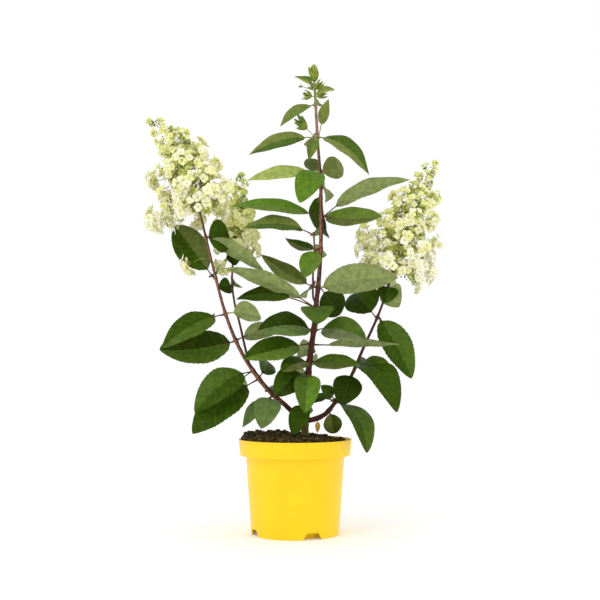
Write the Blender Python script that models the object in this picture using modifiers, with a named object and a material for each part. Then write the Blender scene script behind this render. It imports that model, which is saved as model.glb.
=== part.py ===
"""A panicle hydrangea in a yellow nursery pot.

Metres, +Z up. The pot stands on z = 0 with its axis on the origin, the viewer looks along +Y
and +X is to the viewer's right. Sizes that are written in millimetres are multiplied by MM.
"""

import math
import random
from collections import namedtuple

import bmesh
import bpy
from mathutils import Matrix, Vector, noise

MM = 0.001
CLEAR = 0.3 * MM
UP = Vector((0, 0, 1))
FRONT = -1
BACK = 1

# Pot: a turned shell with a stepped rim band, a recessed channel and a flat pad under it.
POT_HEIGHT = 157 * MM
RIM_RADIUS = 95 * MM
BAND_RADIUS = 92 * MM
BAND_FOOT = 130 * MM
BODY_RADIUS = 82.5 * MM
FOOT_RADIUS = 73 * MM
WALL = 1.8 * MM
PAD_RADIUS = 56 * MM
CHANNEL_RADIUS = 62 * MM
CHANNEL_HEIGHT = 12.5 * MM
POT_STEPS = 30
NOTCH_COUNT = 4
NOTCH_BEARING = math.radians(-67)
NOTCH_WIDTH = 34 * MM
NOTCH_HEIGHT = 11 * MM
NOTCH_DEPTH = 12 * MM
NOTCH_TOP_SHARE = 0.6

# Soil: a lumpy mound, higher at the left, with a flat spot under the stems.
SOIL_HEIGHT = 161 * MM
SOIL_RADIUS = 90.5 * MM
SOIL_SLOPE = 0.065
SOIL_LUMP = 4 * MM
SOIL_LUMP_PITCH = 22 * MM
SOIL_FLAT = 13 * MM
SOIL_STEPS = 20

STEM_SIDES = 6
STEM_SMOOTHNESS = 2
TAPER_POWER = 1.5
FLARE = 0.25
FLARE_REACH = 9 * MM

# Leaves: one shorter than BRACT_LENGTH, in millimetres, is built with fewer rows.
BLADE_ROWS = 5
BRACT_ROWS = 3
BRACT_LENGTH = 45
BLADE_WIDEST = 0.42
SLENDER = 0.3
BROAD = 0.48
SLENDER_TAPER = 1.0
BLADE_TAPER = 0.62
BLADE_FOLD = math.radians(14)
BLADE_TIP = 0.7 * MM
BLADE_THICKNESS = 0.011
STALK_RADIUS = 1.0 * MM
STALK_SINK = 0.14
COLLAR_RADIUS = 1.5 * MM
COLLAR_SIDES = 8
COLLAR_CLEAR = 1.2 * CLEAR

# Panicles: florets on thin twigs round a core of small buds.
FLORET_SIZE = 17 * MM
FLORET_WAIST = 0.62
FLORET_THICKNESS = 0.8 * MM
FLORET_DROOP = 0.3
TWIG_RADIUS = 0.9 * MM
TWIG_FOOT = 0.07
CORE_SHARES = [0.12, 0.2, 0.4, 0.6, 0.8, 0.95]
CORE_WIDTH = 0.58
CORE_SIDES = 7
GOLDEN_ANGLE = math.radians(137.508)

LEAF_GREEN = (0.075, 0.155, 0.028)
BARK_BROWN = (0.085, 0.042, 0.030)
CREAM = (0.780, 0.770, 0.480)
POT_YELLOW = (1.000, 0.640, 0.010)
SOIL_BROWN = (0.030, 0.018, 0.012)
BUD_GREEN = (0.230, 0.340, 0.080)
DEAD_TAN = (0.420, 0.250, 0.080)

Stem = namedtuple("Stem", "foot_radius tip_radius points")
Whorl = namedtuple("Whorl", "stem height leaves")
Panicle = namedtuple("Panicle", "stem points reach florets seed")

# How far a leaf's tip lies across and up from its node, its length and whether it points to the
# front or the back, which together give its depth. Width, and arch of its midrib over the chord.
# Its upper face leans from upright towards the viewer by lean, and to the right by turn.
Leaf = namedtuple("Leaf", "across up length depth width arch lean turn stalk",
                  defaults=(0, 0.15))

# Each stem runs through these places, foot first: across, back and up in millimetres.
STEMS = {
    "stem_centre": Stem(6.2, 2.3, [
        (16, 0, 161.3), (18, 0, 210), (24, 0, 286), (31, -2, 339), (36, -1, 388), (41, 0, 440),
        (44, 2, 515), (43, 1, 590), (38, 0, 660), (34, 0, 734)]),
    "stem_side": Stem(1.9, 1.5, [
        (35, 0, 384), (30, -4, 396), (30, -6, 435), (32, -7, 475), (31, -7, 504)]),
    "stem_left": Stem(4.6, 2.0, [
        (16, 0, 180), (-12, -4, 209), (-38, -8, 232), (-61, -12, 258), (-91, -17, 304),
        (-116, -21, 365), (-136, -26, 440), (-159, -30, 535)]),
    "stem_left_inner": Stem(2.2, 1.7, [
        (-77, -15, 283), (-85, 2, 312), (-94, 16, 348), (-104, 28, 386), (-109, 36, 424),
        (-107, 44, 480)]),
    "stem_right": Stem(4.0, 1.9, [
        (17, 0, 186), (42, 4, 193), (61, 8, 209), (92, 16, 256), (116, 22, 309), (145, 28, 373),
        (168, 34, 441)]),
}

# A stem that forks from another starts on that one's axis and is cut back to its surface.
FORKS = {
    "stem_side": "stem_centre",
    "stem_left": "stem_centre",
    "stem_left_inner": "stem_left",
    "stem_right": "stem_centre",
}

WHORLS = {
    "leaves_centre_1": Whorl("stem_centre", 722, [
        Leaf(-60, -41, 75, FRONT, 26, 9, 45, stalk=0.08),
        Leaf(6, 10, 50, BACK, 20, 6, 45, turn=90)]),
    "leaves_centre_2": Whorl("stem_centre", 666, [
        Leaf(-115, -33, 121, FRONT, 36, 13, 54),
        Leaf(86, -68, 112, FRONT, 38, 21, 48, stalk=0.06),
        Leaf(-15, -48, 64, FRONT, 20, 10, 62),
        Leaf(18, 58, 70, FRONT, 20, 4, 60, stalk=0.35),
        Leaf(-42, 34, 56, FRONT, 15, 2, 60, stalk=0.4),
        Leaf(-4, 0, 100, BACK, 30, 12, 45, turn=-90)]),
    "leaves_centre_3": Whorl("stem_centre", 607, [
        Leaf(-123, -18, 126, FRONT, 36, 6, 50),
        Leaf(-34, -60, 86, FRONT, 50, 14, 58, stalk=0.08),
        Leaf(40, 19, 62, BACK, 42, 4, 80, turn=35, stalk=0.05),
        Leaf(-23, 28, 48, BACK, 26, 2, 70, stalk=0.1),
        Leaf(10, -14, 100, BACK, 32, 8, 45, turn=-90)]),
    "leaves_centre_4": Whorl("stem_centre", 582, [
        Leaf(16, -80, 106, BACK, 42, 16, 70, turn=-35),
        Leaf(10, -14, 90, BACK, 26, 10, 45, turn=90)]),
    "leaves_centre_5": Whorl("stem_centre", 531, [
        Leaf(-150, 12, 156, FRONT, 36, 11, 49, stalk=0.12),
        Leaf(148, 58, 162, FRONT, 36, 24, -40),
        Leaf(98, -8, 118, FRONT, 48, -5, 56, stalk=0.03)]),
    "leaves_side_1": Whorl("stem_side", 500, [
        Leaf(-117, 7, 120, FRONT, 42, 15, 45),
        Leaf(14, 6, 70, BACK, 22, 6, 45, turn=-90)]),
    "leaves_centre_6": Whorl("stem_centre", 476, [
        Leaf(-61, 24, 80, BACK, 24, -8, 55),
        Leaf(-27, -50, 62, FRONT, 38, 8, 60, turn=-10),
        Leaf(-14, -10, 105, BACK, 28, 10, 45, turn=90)]),
    "leaves_centre_7": Whorl("stem_centre", 411, [
        Leaf(131, 14, 138, FRONT, 58, 12, -60, stalk=0.02),
        Leaf(-99, 61, 125, BACK, 36, -9, 52),
        Leaf(37, -46, 68, BACK, 50, 5, 80),
        Leaf(-20, -12, 112, BACK, 38, 8, 45, turn=-90)]),
    "leaves_centre_8": Whorl("stem_centre", 378, [
        Leaf(-153, 62, 170, FRONT, 34, 16, -50, stalk=0.14),
        Leaf(-137, 15, 143, BACK, 40, 20, 50, stalk=0.28),
        Leaf(2, -31, 72, FRONT, 56, 7, 46)]),
    "leaves_centre_9": Whorl("stem_centre", 339, [
        Leaf(-91, -3, 108, FRONT, 54, 12, 58, stalk=0.05),
        Leaf(84, -18, 105, FRONT, 54, 14, 54),
        Leaf(8, 0, 104, BACK, 28, 6, 45, turn=-90)]),
    "leaves_centre_10": Whorl("stem_centre", 315, [
        Leaf(-111, -24, 128, FRONT, 54, 3, 52),
        Leaf(144, -1, 148, FRONT, 38, -1, -22),
        Leaf(-26, -24, 110, BACK, 32, 10, 45, turn=90)]),
    "leaves_centre_11": Whorl("stem_centre", 286, [
        Leaf(-46, -17, 76, FRONT, 40, 5, 45, stalk=0.05),
        Leaf(81, -5, 100, FRONT, 38, 0, 50, stalk=0.03),
        Leaf(16, -6, 110, BACK, 30, 6, 45, turn=-90)]),
    "leaves_centre_12": Whorl("stem_centre", 266, [
        Leaf(-6, -63, 90, FRONT, 45, 20, 75),
        Leaf(-55, -36, 80, FRONT, 52, 12, 60),
        Leaf(-30, -16, 112, BACK, 40, 8, 45, turn=90)]),
    "leaves_centre_13": Whorl("stem_centre", 218, [
        Leaf(-22, -52, 70, FRONT, 35, 10, 75),
        Leaf(-14, -30, 88, BACK, 30, 10, 45, turn=90)]),
    "leaves_left_1": Whorl("stem_left", 492, [
        Leaf(97, -56, 113, BACK, 34, 6, -40, stalk=0.05),
        Leaf(38, 2, 46, BACK, 60, 4, 80, stalk=0.03)]),
    "leaves_left_2": Whorl("stem_left", 424, [
        Leaf(-74, 94, 128, BACK, 58, 10, 66, turn=-20),
        Leaf(6, 14, 60, BACK, 30, 8, 45, turn=-90)]),
    "leaves_left_3": Whorl("stem_left", 365, [
        Leaf(-98, -58, 130, FRONT, 50, 15, 55),
        Leaf(60, -7, 64, FRONT, 44, 8, -50),
        Leaf(-50, -28, 110, BACK, 38, 8, 45, turn=-90, stalk=0.35)]),
    "leaves_left_4": Whorl("stem_left", 321, [
        Leaf(-121, -16, 130, FRONT, 68, -11, 60, stalk=0.04),
        Leaf(70, 15, 74, BACK, 40, 8, -50)]),
    "leaves_left_5": Whorl("stem_left", 271, [
        Leaf(-91, -66, 128, FRONT, 58, 24, 55),
        Leaf(-56, -44, 112, BACK, 40, 8, 45, turn=90, stalk=0.35)]),
    "leaves_left_6": Whorl("stem_left", 258, [
        Leaf(-104, -88, 148, FRONT, 66, 14, 55),
        Leaf(10, 30, 90, BACK, 40, 8, 45, turn=90)]),
    "leaves_left_7": Whorl("stem_left", 231, [
        Leaf(-49, -53, 82, FRONT, 26, 16, 60, stalk=0.3),
        Leaf(-17, -53, 82, FRONT, 46, 12, 65),
        Leaf(14, 14, 96, BACK, 38, 10, 45, turn=-90)]),
    "leaves_inner_1": Whorl("stem_left_inner", 416, [
        Leaf(-20, -4, 30, FRONT, 28, 3, 85),
        Leaf(-4, 4, 64, BACK, 30, 8, 45, turn=90)]),
    "leaves_inner_2": Whorl("stem_left_inner", 474, [
        Leaf(4, -24, 32, FRONT, 28, 4, 85),
        Leaf(-26, -30, 80, BACK, 32, 4, 45, turn=-90)]),
    "leaves_right_1": Whorl("stem_right", 416, [
        Leaf(-7, -32, 44, FRONT, 38, 6, 70),
        Leaf(23, -34, 66, BACK, 46, 8, -60, turn=30)]),
    "leaves_right_2": Whorl("stem_right", 361, [
        Leaf(56, -103, 120, FRONT, 54, 16, 65, stalk=0.05),
        Leaf(-38, 44, 80, BACK, 66, 8, 75),
        Leaf(20, -30, 104, BACK, 42, 8, 45, turn=90)]),
    "leaves_right_3": Whorl("stem_right", 278, [
        Leaf(62, -74, 128, FRONT, 60, 32, 55, turn=20, stalk=0.02),
        Leaf(64, -20, 84, FRONT, 40, 16, 50, stalk=0.04),
        Leaf(-27, -63, 86, FRONT, 50, 10, 70, stalk=0.35),
        Leaf(40, -8, 110, BACK, 44, 6, 45, turn=90)]),
    "leaves_right_4": Whorl("stem_right", 219, [
        Leaf(-25, 27, 50, FRONT, 24, 6, 75, stalk=0.3),
        Leaf(48, -81, 115, FRONT, 54, 22, 70, turn=40, stalk=0.08),
        Leaf(-40, 0, 56, BACK, 22, 6, 60, stalk=0.3),
        Leaf(30, 4, 104, BACK, 40, 8, 45, turn=-90)]),
    "leaves_right_5": Whorl("stem_right", 203, [
        Leaf(12, -39, 46, BACK, 33, 4, 85, stalk=0.05)]),
    "leaf_withered": Whorl("stem_right", 191, [
        Leaf(1, -24, 27, FRONT, 9, 3, 80, stalk=0.1)]),
}

# Each panicle's axis, foot first, and the greatest distance of its florets from it.
PANICLES = {
    "panicle_left": Panicle("stem_left", [
        (-178, -34, 600), (-196, -38, 647), (-241, -44, 686)], 72, 34, 3),
    "panicle_inner": Panicle("stem_left_inner", [
        (-99, 46, 520), (-96, 48, 560), (-94, 48, 614)], 38, 16, 5),
    "panicle_right": Panicle("stem_right", [
        (184, 36, 490), (200, 38, 542), (217, 40, 582), (243, 42, 630)], 74, 34, 8),
}


def clear_scene():
    for thing in list(bpy.data.objects):
        bpy.data.objects.remove(thing, do_unlink=True)


def new_collection(name):
    made = bpy.data.collections.new(name)
    bpy.context.scene.collection.children.link(made)
    return made


def new_material(name, colour, roughness):
    made = bpy.data.materials.new(name)
    made.use_nodes = True
    shader = made.node_tree.nodes["Principled BSDF"]
    shader.inputs["Base Color"].default_value = (*colour, 1)
    shader.inputs["Roughness"].default_value = roughness
    return made


def new_object(name, data, home):
    made = bpy.data.objects.new(name, data)
    home.objects.link(made)
    return made


def evaluated_mesh(thing):
    """The object's mesh with its modifiers or bevel applied."""
    bpy.context.view_layer.update()
    graph = bpy.context.evaluated_depsgraph_get()
    return bpy.data.meshes.new_from_object(thing.evaluated_get(graph))


def remove_object(thing):
    bpy.data.objects.remove(thing, do_unlink=True)


def smooth_path(points, steps):
    """Catmull-Rom through the points, which are in millimetres, in metres."""
    knots = [Vector(p) * MM for p in points]
    first = knots[0] * 2 - knots[1]
    last = knots[-1] * 2 - knots[-2]
    knots = [first, *knots, last]
    path = []
    for k in range(1, len(knots) - 2):
        a, b, c, d = knots[k - 1:k + 3]
        for step in range(steps):
            t = step / steps
            path.append(0.5 * ((2 * b) + (c - a) * t + (2 * a - 5 * b + 4 * c - d) * t * t
                               + (3 * b - a - 3 * c + d) * t ** 3))
    path.append(knots[-2])
    return path


def path_shares(path):
    """How far along the path each of its points is, from 0 to 1."""
    run = [0.0]
    for before, after in zip(path, path[1:]):
        run.append(run[-1] + (after - before).length)
    return [r / run[-1] for r in run]


def tube(name, path, radii, sides, home):
    """A closed tube along the path, as a mesh with its caps welded on."""
    curve = bpy.data.curves.new(name, "CURVE")
    curve.dimensions = "3D"
    curve.bevel_depth = 1
    curve.bevel_resolution = (sides - 4) // 2
    curve.use_fill_caps = True
    spline = curve.splines.new("POLY")
    spline.points.add(len(path) - 1)
    for point, place, radius in zip(spline.points, path, radii):
        point.co = (*place, 1)
        point.radius = radius
    guide = new_object(name + "_curve", curve, home)
    mesh = evaluated_mesh(guide)
    remove_object(guide)
    shape = bmesh.new()
    shape.from_mesh(mesh)
    bmesh.ops.remove_doubles(shape, verts=shape.verts, dist=0.01 * MM)
    shape.to_mesh(mesh)
    shape.free()
    mesh.name = name
    return new_object(name, mesh, home)


def hide_cutter(thing):
    thing.hide_render = True
    thing.display_type = "WIRE"


def add_boolean(thing, operation, others):
    """A Boolean on a whole collection, or on one object."""
    joint = thing.modifiers.new(operation.lower(), "BOOLEAN")
    joint.operation = operation
    joint.solver = "EXACT"
    if isinstance(others, bpy.types.Collection):
        joint.operand_type = "COLLECTION"
        joint.collection = others
    else:
        joint.object = others


def largest_body(mesh):
    """Drops every loose scrap of the mesh and keeps its largest body."""
    shape = bmesh.new()
    shape.from_mesh(mesh)
    left = set(shape.verts)
    bodies = []
    while left:
        body = {left.pop()}
        edge = list(body)
        while edge:
            vert = edge.pop()
            for link in vert.link_edges:
                other = link.other_vert(vert)
                if other in left:
                    left.remove(other)
                    body.add(other)
                    edge.append(other)
        bodies.append(body)
    bodies.sort(key=len)
    scraps = [vert for body in bodies[:-1] for vert in body]
    bmesh.ops.delete(shape, geom=scraps, context="VERTS")
    shape.to_mesh(mesh)
    shape.free()


def fuse(core, parts_home):
    """Joins everything in the collection to the core, and removes the collection's objects."""
    add_boolean(core, "UNION", parts_home)
    mesh = evaluated_mesh(core)
    core.modifiers.clear()
    core.data = mesh
    for part in list(parts_home.objects):
        remove_object(part)
    largest_body(mesh)
    return core


def turned(name, profile, steps, home):
    """A solid of revolution about Z, from a profile that starts and ends on the axis."""
    mesh = bpy.data.meshes.new(name)
    points = [(radius, 0, height) for radius, height in profile]
    edges = [(k, k + 1) for k in range(len(points) - 1)]
    mesh.from_pydata(points, edges, [])
    made = new_object(name, mesh, home)
    screw = made.modifiers.new("turn", "SCREW")
    screw.steps = steps
    screw.render_steps = steps
    screw.use_merge_vertices = True
    screw.merge_threshold = 0.01 * MM
    return made


def pot_profile():
    """The shell's section: inner floor and wall, over the rim, down the outside, underside."""
    slant = (BODY_RADIUS - FOOT_RADIUS) / BAND_FOOT
    floor = CHANNEL_HEIGHT + WALL
    return [
        (0, WALL),
        (PAD_RADIUS - 1.2 * WALL, WALL),
        (CHANNEL_RADIUS - 1.2 * WALL, floor),
        (FOOT_RADIUS - WALL + slant * floor, floor),
        (BODY_RADIUS - WALL, BAND_FOOT + WALL),
        (BAND_RADIUS - 1.4 * WALL, BAND_FOOT + WALL),
        (RIM_RADIUS - 1.8 * WALL, POT_HEIGHT - 2.4 * WALL),
        (RIM_RADIUS - 1.1 * WALL, POT_HEIGHT),
        (RIM_RADIUS - 0.4 * WALL, POT_HEIGHT),
        (RIM_RADIUS, POT_HEIGHT - 0.5 * WALL),
        (RIM_RADIUS - 0.3 * WALL, POT_HEIGHT - 1.6 * WALL),
        (BAND_RADIUS, BAND_FOOT),
        (BODY_RADIUS, BAND_FOOT),
        (FOOT_RADIUS, 0),
        (FOOT_RADIUS - 1.2 * WALL, 0),
        (FOOT_RADIUS - 1.2 * WALL + slant * CHANNEL_HEIGHT, CHANNEL_HEIGHT),
        (CHANNEL_RADIUS, CHANNEL_HEIGHT),
        (PAD_RADIUS, 0),
        (0, 0),
    ]


def notch_cutter(number, home):
    """A wedge that cuts one drainage notch out of the foot, narrower at its top."""
    shape = bmesh.new()
    bmesh.ops.create_cube(shape, size=1)
    for vert in shape.verts:
        narrow = NOTCH_TOP_SHARE if vert.co.z > 0 else 1
        vert.co.x *= NOTCH_WIDTH * narrow
        vert.co.y = vert.co.y * NOTCH_DEPTH - FOOT_RADIUS
        vert.co.z = NOTCH_HEIGHT if vert.co.z > 0 else -MM
    mesh = bpy.data.meshes.new("notch_%d" % number)
    shape.to_mesh(mesh)
    shape.free()
    made = new_object(mesh.name, mesh, home)
    made.rotation_euler.z = NOTCH_BEARING + number * math.tau / NOTCH_COUNT
    hide_cutter(made)


def make_pot(home, cutters):
    pot = turned("pot", pot_profile(), POT_STEPS, home)
    notches = bpy.data.collections.new("notches")
    cutters.children.link(notches)
    for number in range(NOTCH_COUNT):
        notch_cutter(number, notches)
    add_boolean(pot, "DIFFERENCE", notches)
    return pot


def soil_profile():
    """The soil's section: a shell's clearance inside the pot, and level on top."""
    gap = CLEAR + BODY_RADIUS * (1 - math.cos(math.pi / POT_STEPS))
    slant = (BODY_RADIUS - FOOT_RADIUS) / BAND_FOOT
    floor = CHANNEL_HEIGHT + WALL + gap
    return [
        (0, WALL + gap),
        (PAD_RADIUS - 1.2 * WALL - MM, WALL + gap),
        (CHANNEL_RADIUS - 1.2 * WALL - MM, floor),
        (FOOT_RADIUS - WALL + slant * floor - gap, floor),
        (BODY_RADIUS - WALL - gap, BAND_FOOT + WALL),
        (BODY_RADIUS - WALL - gap, BAND_FOOT + 1.5 * WALL),
        (BAND_RADIUS - 1.4 * WALL - gap, BAND_FOOT + 1.5 * WALL),
        (SOIL_RADIUS - 1.2 * MM, POT_HEIGHT - 9 * MM),
        (0.86 * SOIL_RADIUS, SOIL_HEIGHT),
        (0.68 * SOIL_RADIUS, SOIL_HEIGHT),
        (0.50 * SOIL_RADIUS, SOIL_HEIGHT),
        (0.33 * SOIL_RADIUS, SOIL_HEIGHT),
        (0.16 * SOIL_RADIUS, SOIL_HEIGHT),
        (0, SOIL_HEIGHT),
    ]


def soil_level(x, y):
    """Height of the soil: a slope from left to right with lumps, flat under the stems."""
    foot = Vector(STEMS["stem_centre"].points[0]) * MM
    apart = math.hypot(x - foot.x, y - foot.y)
    rough = min(1, max(0, (apart - SOIL_FLAT) / SOIL_FLAT))
    lump = noise.noise(Vector((x, y, 0)) / SOIL_LUMP_PITCH) * SOIL_LUMP
    level = SOIL_HEIGHT + rough * (lump - SOIL_SLOPE * (x - foot.x))
    return min(level, foot.z - CLEAR)


def make_soil(home):
    soil = turned("soil", list(reversed(soil_profile())), SOIL_STEPS, home)
    mesh = evaluated_mesh(soil)
    soil.modifiers.clear()
    soil.data = mesh
    for vert in mesh.vertices:
        if vert.co.z > SOIL_HEIGHT - MM:
            vert.co.z = soil_level(vert.co.x, vert.co.y)
    return soil


def stem_path(name):
    return smooth_path(STEMS[name].points, STEM_SMOOTHNESS)


def stem_radius(name, share, run):
    """Radius at a share of the stem's length; run is how far that is from the foot."""
    stem = STEMS[name]
    taper = stem.tip_radius + (stem.foot_radius - stem.tip_radius) * (1 - share) ** TAPER_POWER
    flare = 1 if name in FORKS else 1 + FLARE * math.exp(-run / FLARE_REACH)
    return taper * flare * MM


def stem_radii(name, path):
    shares = path_shares(path)
    whole = sum((b - a).length for a, b in zip(path, path[1:]))
    return [stem_radius(name, share, share * whole) for share in shares]


def make_stem(name, home, cutters):
    path = stem_path(name)
    stem = tube(name, path, stem_radii(name, path), STEM_SIDES, home)
    if name in FORKS:
        parent = FORKS[name]
        parent_path = stem_path(parent)
        clear = CLEAR / math.cos(math.pi / STEM_SIDES)
        radii = [radius + clear for radius in stem_radii(parent, parent_path)]
        cutter = tube(name + "_cut", parent_path, radii, STEM_SIDES, cutters)
        hide_cutter(cutter)
        add_boolean(stem, "DIFFERENCE", cutter)
    return stem


def stem_at_height(name, height):
    """The stem's centre, direction and radius at a height in metres."""
    path = stem_path(name)
    radii = stem_radii(name, path)
    for k in range(len(path) - 1):
        low, high = path[k], path[k + 1]
        if low.z <= height <= high.z:
            share = (height - low.z) / (high.z - low.z)
            radius = radii[k] + (radii[k + 1] - radii[k]) * share
            return low.lerp(high, share), (high - low).normalized(), radius
    raise ValueError("%s does not reach %.3f" % (name, height))


def make_collar(name, node, along, stem_size, home):
    """The swollen ring round a stem that the leaf stalks grow from."""
    inner = (stem_size + COLLAR_CLEAR) / math.cos(math.pi / COLLAR_SIDES)
    ring = inner + COLLAR_RADIUS / 2
    bpy.ops.mesh.primitive_torus_add(
        major_radius=ring, minor_radius=COLLAR_RADIUS,
        major_segments=COLLAR_SIDES, minor_segments=3)
    made = bpy.context.object
    for old in list(made.users_collection):
        old.objects.unlink(made)
    home.objects.link(made)
    made.name = name
    turn = UP.rotation_difference(along).to_matrix().to_4x4()
    made.data.transform(Matrix.Translation(node) @ turn)
    made.data.name = name
    return made, ring


def make_twig(start, end, radius, home):
    """A three-sided twig that tapers to its end."""
    shape = bmesh.new()
    length = (end - start).length
    bmesh.ops.create_cone(shape, segments=3, radius1=radius, radius2=0.6 * radius, depth=length,
                          cap_ends=True)
    turn = (end - start).to_track_quat("Z", "Y").to_matrix().to_4x4()
    shape.transform(Matrix.Translation((start + end) / 2) @ turn)
    mesh = bpy.data.meshes.new("twig")
    shape.to_mesh(mesh)
    shape.free()
    return new_object("twig", mesh, home)


def leaf_line(leaf, node, along, ring):
    """Start, tip and upward face of a leaf whose stalk grows from a ring round the node."""
    depth = math.sqrt(max(leaf.length ** 2 - leaf.across ** 2 - leaf.up ** 2, 0))
    tip = node + Vector((leaf.across, leaf.depth * depth, leaf.up)) * MM
    outward = tip - node
    outward -= along * outward.dot(along)
    start = node + outward.normalized() * ring
    chord = (tip - start).normalized()
    lean = math.radians(leaf.lean)
    turn = math.radians(leaf.turn)
    hint = Vector((math.sin(lean) * math.sin(turn), -math.sin(lean) * math.cos(turn), math.cos(lean)))
    face = (hint - chord * hint.dot(chord)).normalized()
    return start, tip, face


def leaf_point(leaf, line, t):
    """A point on the leaf's arched midrib, from its stalk's foot at 0 to its tip at 1."""
    start, tip, face = line
    return start.lerp(tip, t) + face * (leaf.arch * MM * 4 * t * (1 - t))


def blade_width(t, leaf):
    """The blade's width at t along it as a share of its widest: round base, pointed tip.

    A broad leaf keeps its width longer than a slender one."""
    if t < BLADE_WIDEST:
        return math.sin(math.pi / 2 * t / BLADE_WIDEST) ** 0.55
    broad = min(1, max(0, (leaf.width / leaf.length - SLENDER) / (BROAD - SLENDER)))
    taper = SLENDER_TAPER + (BLADE_TAPER - SLENDER_TAPER) * broad
    return max(0, math.cos(math.pi / 2 * (t - BLADE_WIDEST) / (1 - BLADE_WIDEST))) ** taper


def make_blade(leaf, line, home):
    """A thin blade, folded up a little on both sides of its midrib."""
    start, tip, face = line
    side = (tip - start).normalized().cross(face)
    shape = bmesh.new()
    rows = BRACT_ROWS if leaf.length < BRACT_LENGTH else BLADE_ROWS
    bmesh.ops.create_grid(shape, x_segments=2, y_segments=rows, size=0.5)
    for vert in shape.verts:
        t = vert.co.y + 0.5
        across = 2 * vert.co.x
        middle = leaf_point(leaf, line, leaf.stalk + (1 - leaf.stalk) * t)
        half = max(leaf.width / 2 * blade_width(t, leaf) * MM, BLADE_TIP)
        sideways = across * half * math.cos(BLADE_FOLD)
        lift = abs(across) * half * math.sin(BLADE_FOLD)
        vert.co = middle + side * sideways + face * lift
    mesh = bpy.data.meshes.new("blade")
    shape.to_mesh(mesh)
    shape.free()
    made = new_object("blade", mesh, home)
    shell = made.modifiers.new("thickness", "SOLIDIFY")
    shell.thickness = BLADE_THICKNESS * leaf.length * MM
    shell.offset = 0
    return made


def make_stalk(leaf, line, home):
    """The leaf's stalk, sunk well into the foot of the blade."""
    foot = leaf_point(leaf, line, 0)
    sunk = leaf_point(leaf, line, leaf.stalk + STALK_SINK * (1 - leaf.stalk))
    thin = min(1, leaf.width / 24)
    return make_twig(foot, sunk, STALK_RADIUS * thin, home)


def make_whorl(name, home, scratch):
    whorl = WHORLS[name]
    node, along, stem_size = stem_at_height(whorl.stem, whorl.height * MM)
    collar, ring = make_collar(name, node, along, stem_size, home)
    for leaf in whorl.leaves:
        line = leaf_line(leaf, node, along, ring)
        make_stalk(leaf, line, scratch)
        make_blade(leaf, line, scratch)
    return fuse(collar, scratch)


def make_floret(centre, facing, size, spin, home):
    """A flower of four sepals: a thin star with eight corners."""
    shape = bmesh.new()
    bmesh.ops.create_cone(shape, segments=8, radius1=1, radius2=1, depth=FLORET_THICKNESS,
                          cap_ends=True)
    turn = facing.to_track_quat("Z", "Y").to_matrix() @ Matrix.Rotation(spin, 3, "Z")
    for vert in shape.verts:
        corner = round(math.atan2(vert.co.y, vert.co.x) / (math.pi / 4))
        wide = size if corner % 2 == 0 else FLORET_WAIST * size
        flat = Vector((vert.co.x, vert.co.y, 0)) * wide
        vert.co = centre + turn @ (flat + Vector((0, 0, vert.co.z)))
    mesh = bpy.data.meshes.new("floret")
    shape.to_mesh(mesh)
    shape.free()
    return new_object("floret", mesh, home)


def panicle_reach(t):
    """The florets' distance from the axis as a share of the greatest, foot 0 to tip 1."""
    swell = min(1, 0.8 + 2 * t)
    return swell * (1 - t) ** 0.65 + 0.06


def panicle_path(panicle):
    """The axis, from just clear of the stem's top."""
    foot = stem_path(panicle.stem)[-1] / MM
    second = stem_path(panicle.stem)[-2] / MM
    start = foot + (foot - second).normalized() * 0.35
    return smooth_path([tuple(start), *panicle.points], 3)


def path_point(path, t):
    """The place and direction at a share t of a path with even steps."""
    step = min(max(t, 0) * (len(path) - 1), len(path) - 1.001)
    k = int(step)
    place = path[k].lerp(path[k + 1], step - k)
    return place, (path[k + 1] - path[k]).normalized()


def floret_places(panicle, path):
    """Golden-angle places round the axis: floret, its facing, its twig's start, its share."""
    chance = random.Random(panicle.seed)
    places = []
    for k in range(panicle.florets):
        share = (k + 0.5) / panicle.florets
        t = 1 - (1 - share) ** 0.62
        place, along = path_point(path, t)
        across = along.orthogonal().normalized()
        round_axis = Matrix.Rotation(k * GOLDEN_ANGLE, 3, along)
        outward = round_axis @ across
        reach = panicle.reach * panicle_reach(t) * chance.uniform(0.78, 1.02) * MM
        rise = along * reach * chance.uniform(-0.2, 0.2) - UP * reach * FLORET_DROOP * (1 - t) ** 4
        start, _ = path_point(path, max(t - 0.05, TWIG_FOOT))
        facing = (outward + along * 0.35 + UP * 0.2).normalized()
        places.append((place + outward * reach + rise, facing, start, t))
    return places


def make_panicle(name, home, scratch):
    panicle = PANICLES[name]
    path = panicle_path(panicle)
    chance = random.Random(panicle.seed + 100)
    foot_size = STEMS[panicle.stem].tip_radius * MM
    sizes = [foot_size * (1 - 0.7 * k / (len(path) - 1)) for k in range(len(path))]
    axis = tube(name, path, sizes, 6, home)
    core_path = [path_point(path, t)[0] for t in CORE_SHARES]
    core_size = [panicle.reach * panicle_reach(t) * CORE_WIDTH * MM for t in CORE_SHARES]
    core_size[0] *= 0.4
    tube("core", core_path, core_size, CORE_SIDES, scratch)
    for place, facing, start, t in floret_places(panicle, path):
        size = FLORET_SIZE * (1 - 0.5 * t) * chance.uniform(0.9, 1.1)
        make_twig(start, place + facing * 0.1 * MM, TWIG_RADIUS, scratch)
        make_floret(place, facing, size, chance.uniform(0, math.pi), scratch)
    return fuse(axis, scratch)


def make_bud(centre, radius, length, along, home):
    """An egg-shaped bud."""
    shape = bmesh.new()
    bmesh.ops.create_uvsphere(shape, u_segments=6, v_segments=4, radius=radius)
    bmesh.ops.scale(shape, vec=(1, 1, length / (2 * radius)), verts=shape.verts)
    turn = along.to_track_quat("Z", "Y").to_matrix().to_4x4()
    shape.transform(Matrix.Translation(centre) @ turn)
    mesh = bpy.data.meshes.new("bud")
    shape.to_mesh(mesh)
    shape.free()
    return new_object("bud", mesh, home)


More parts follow.
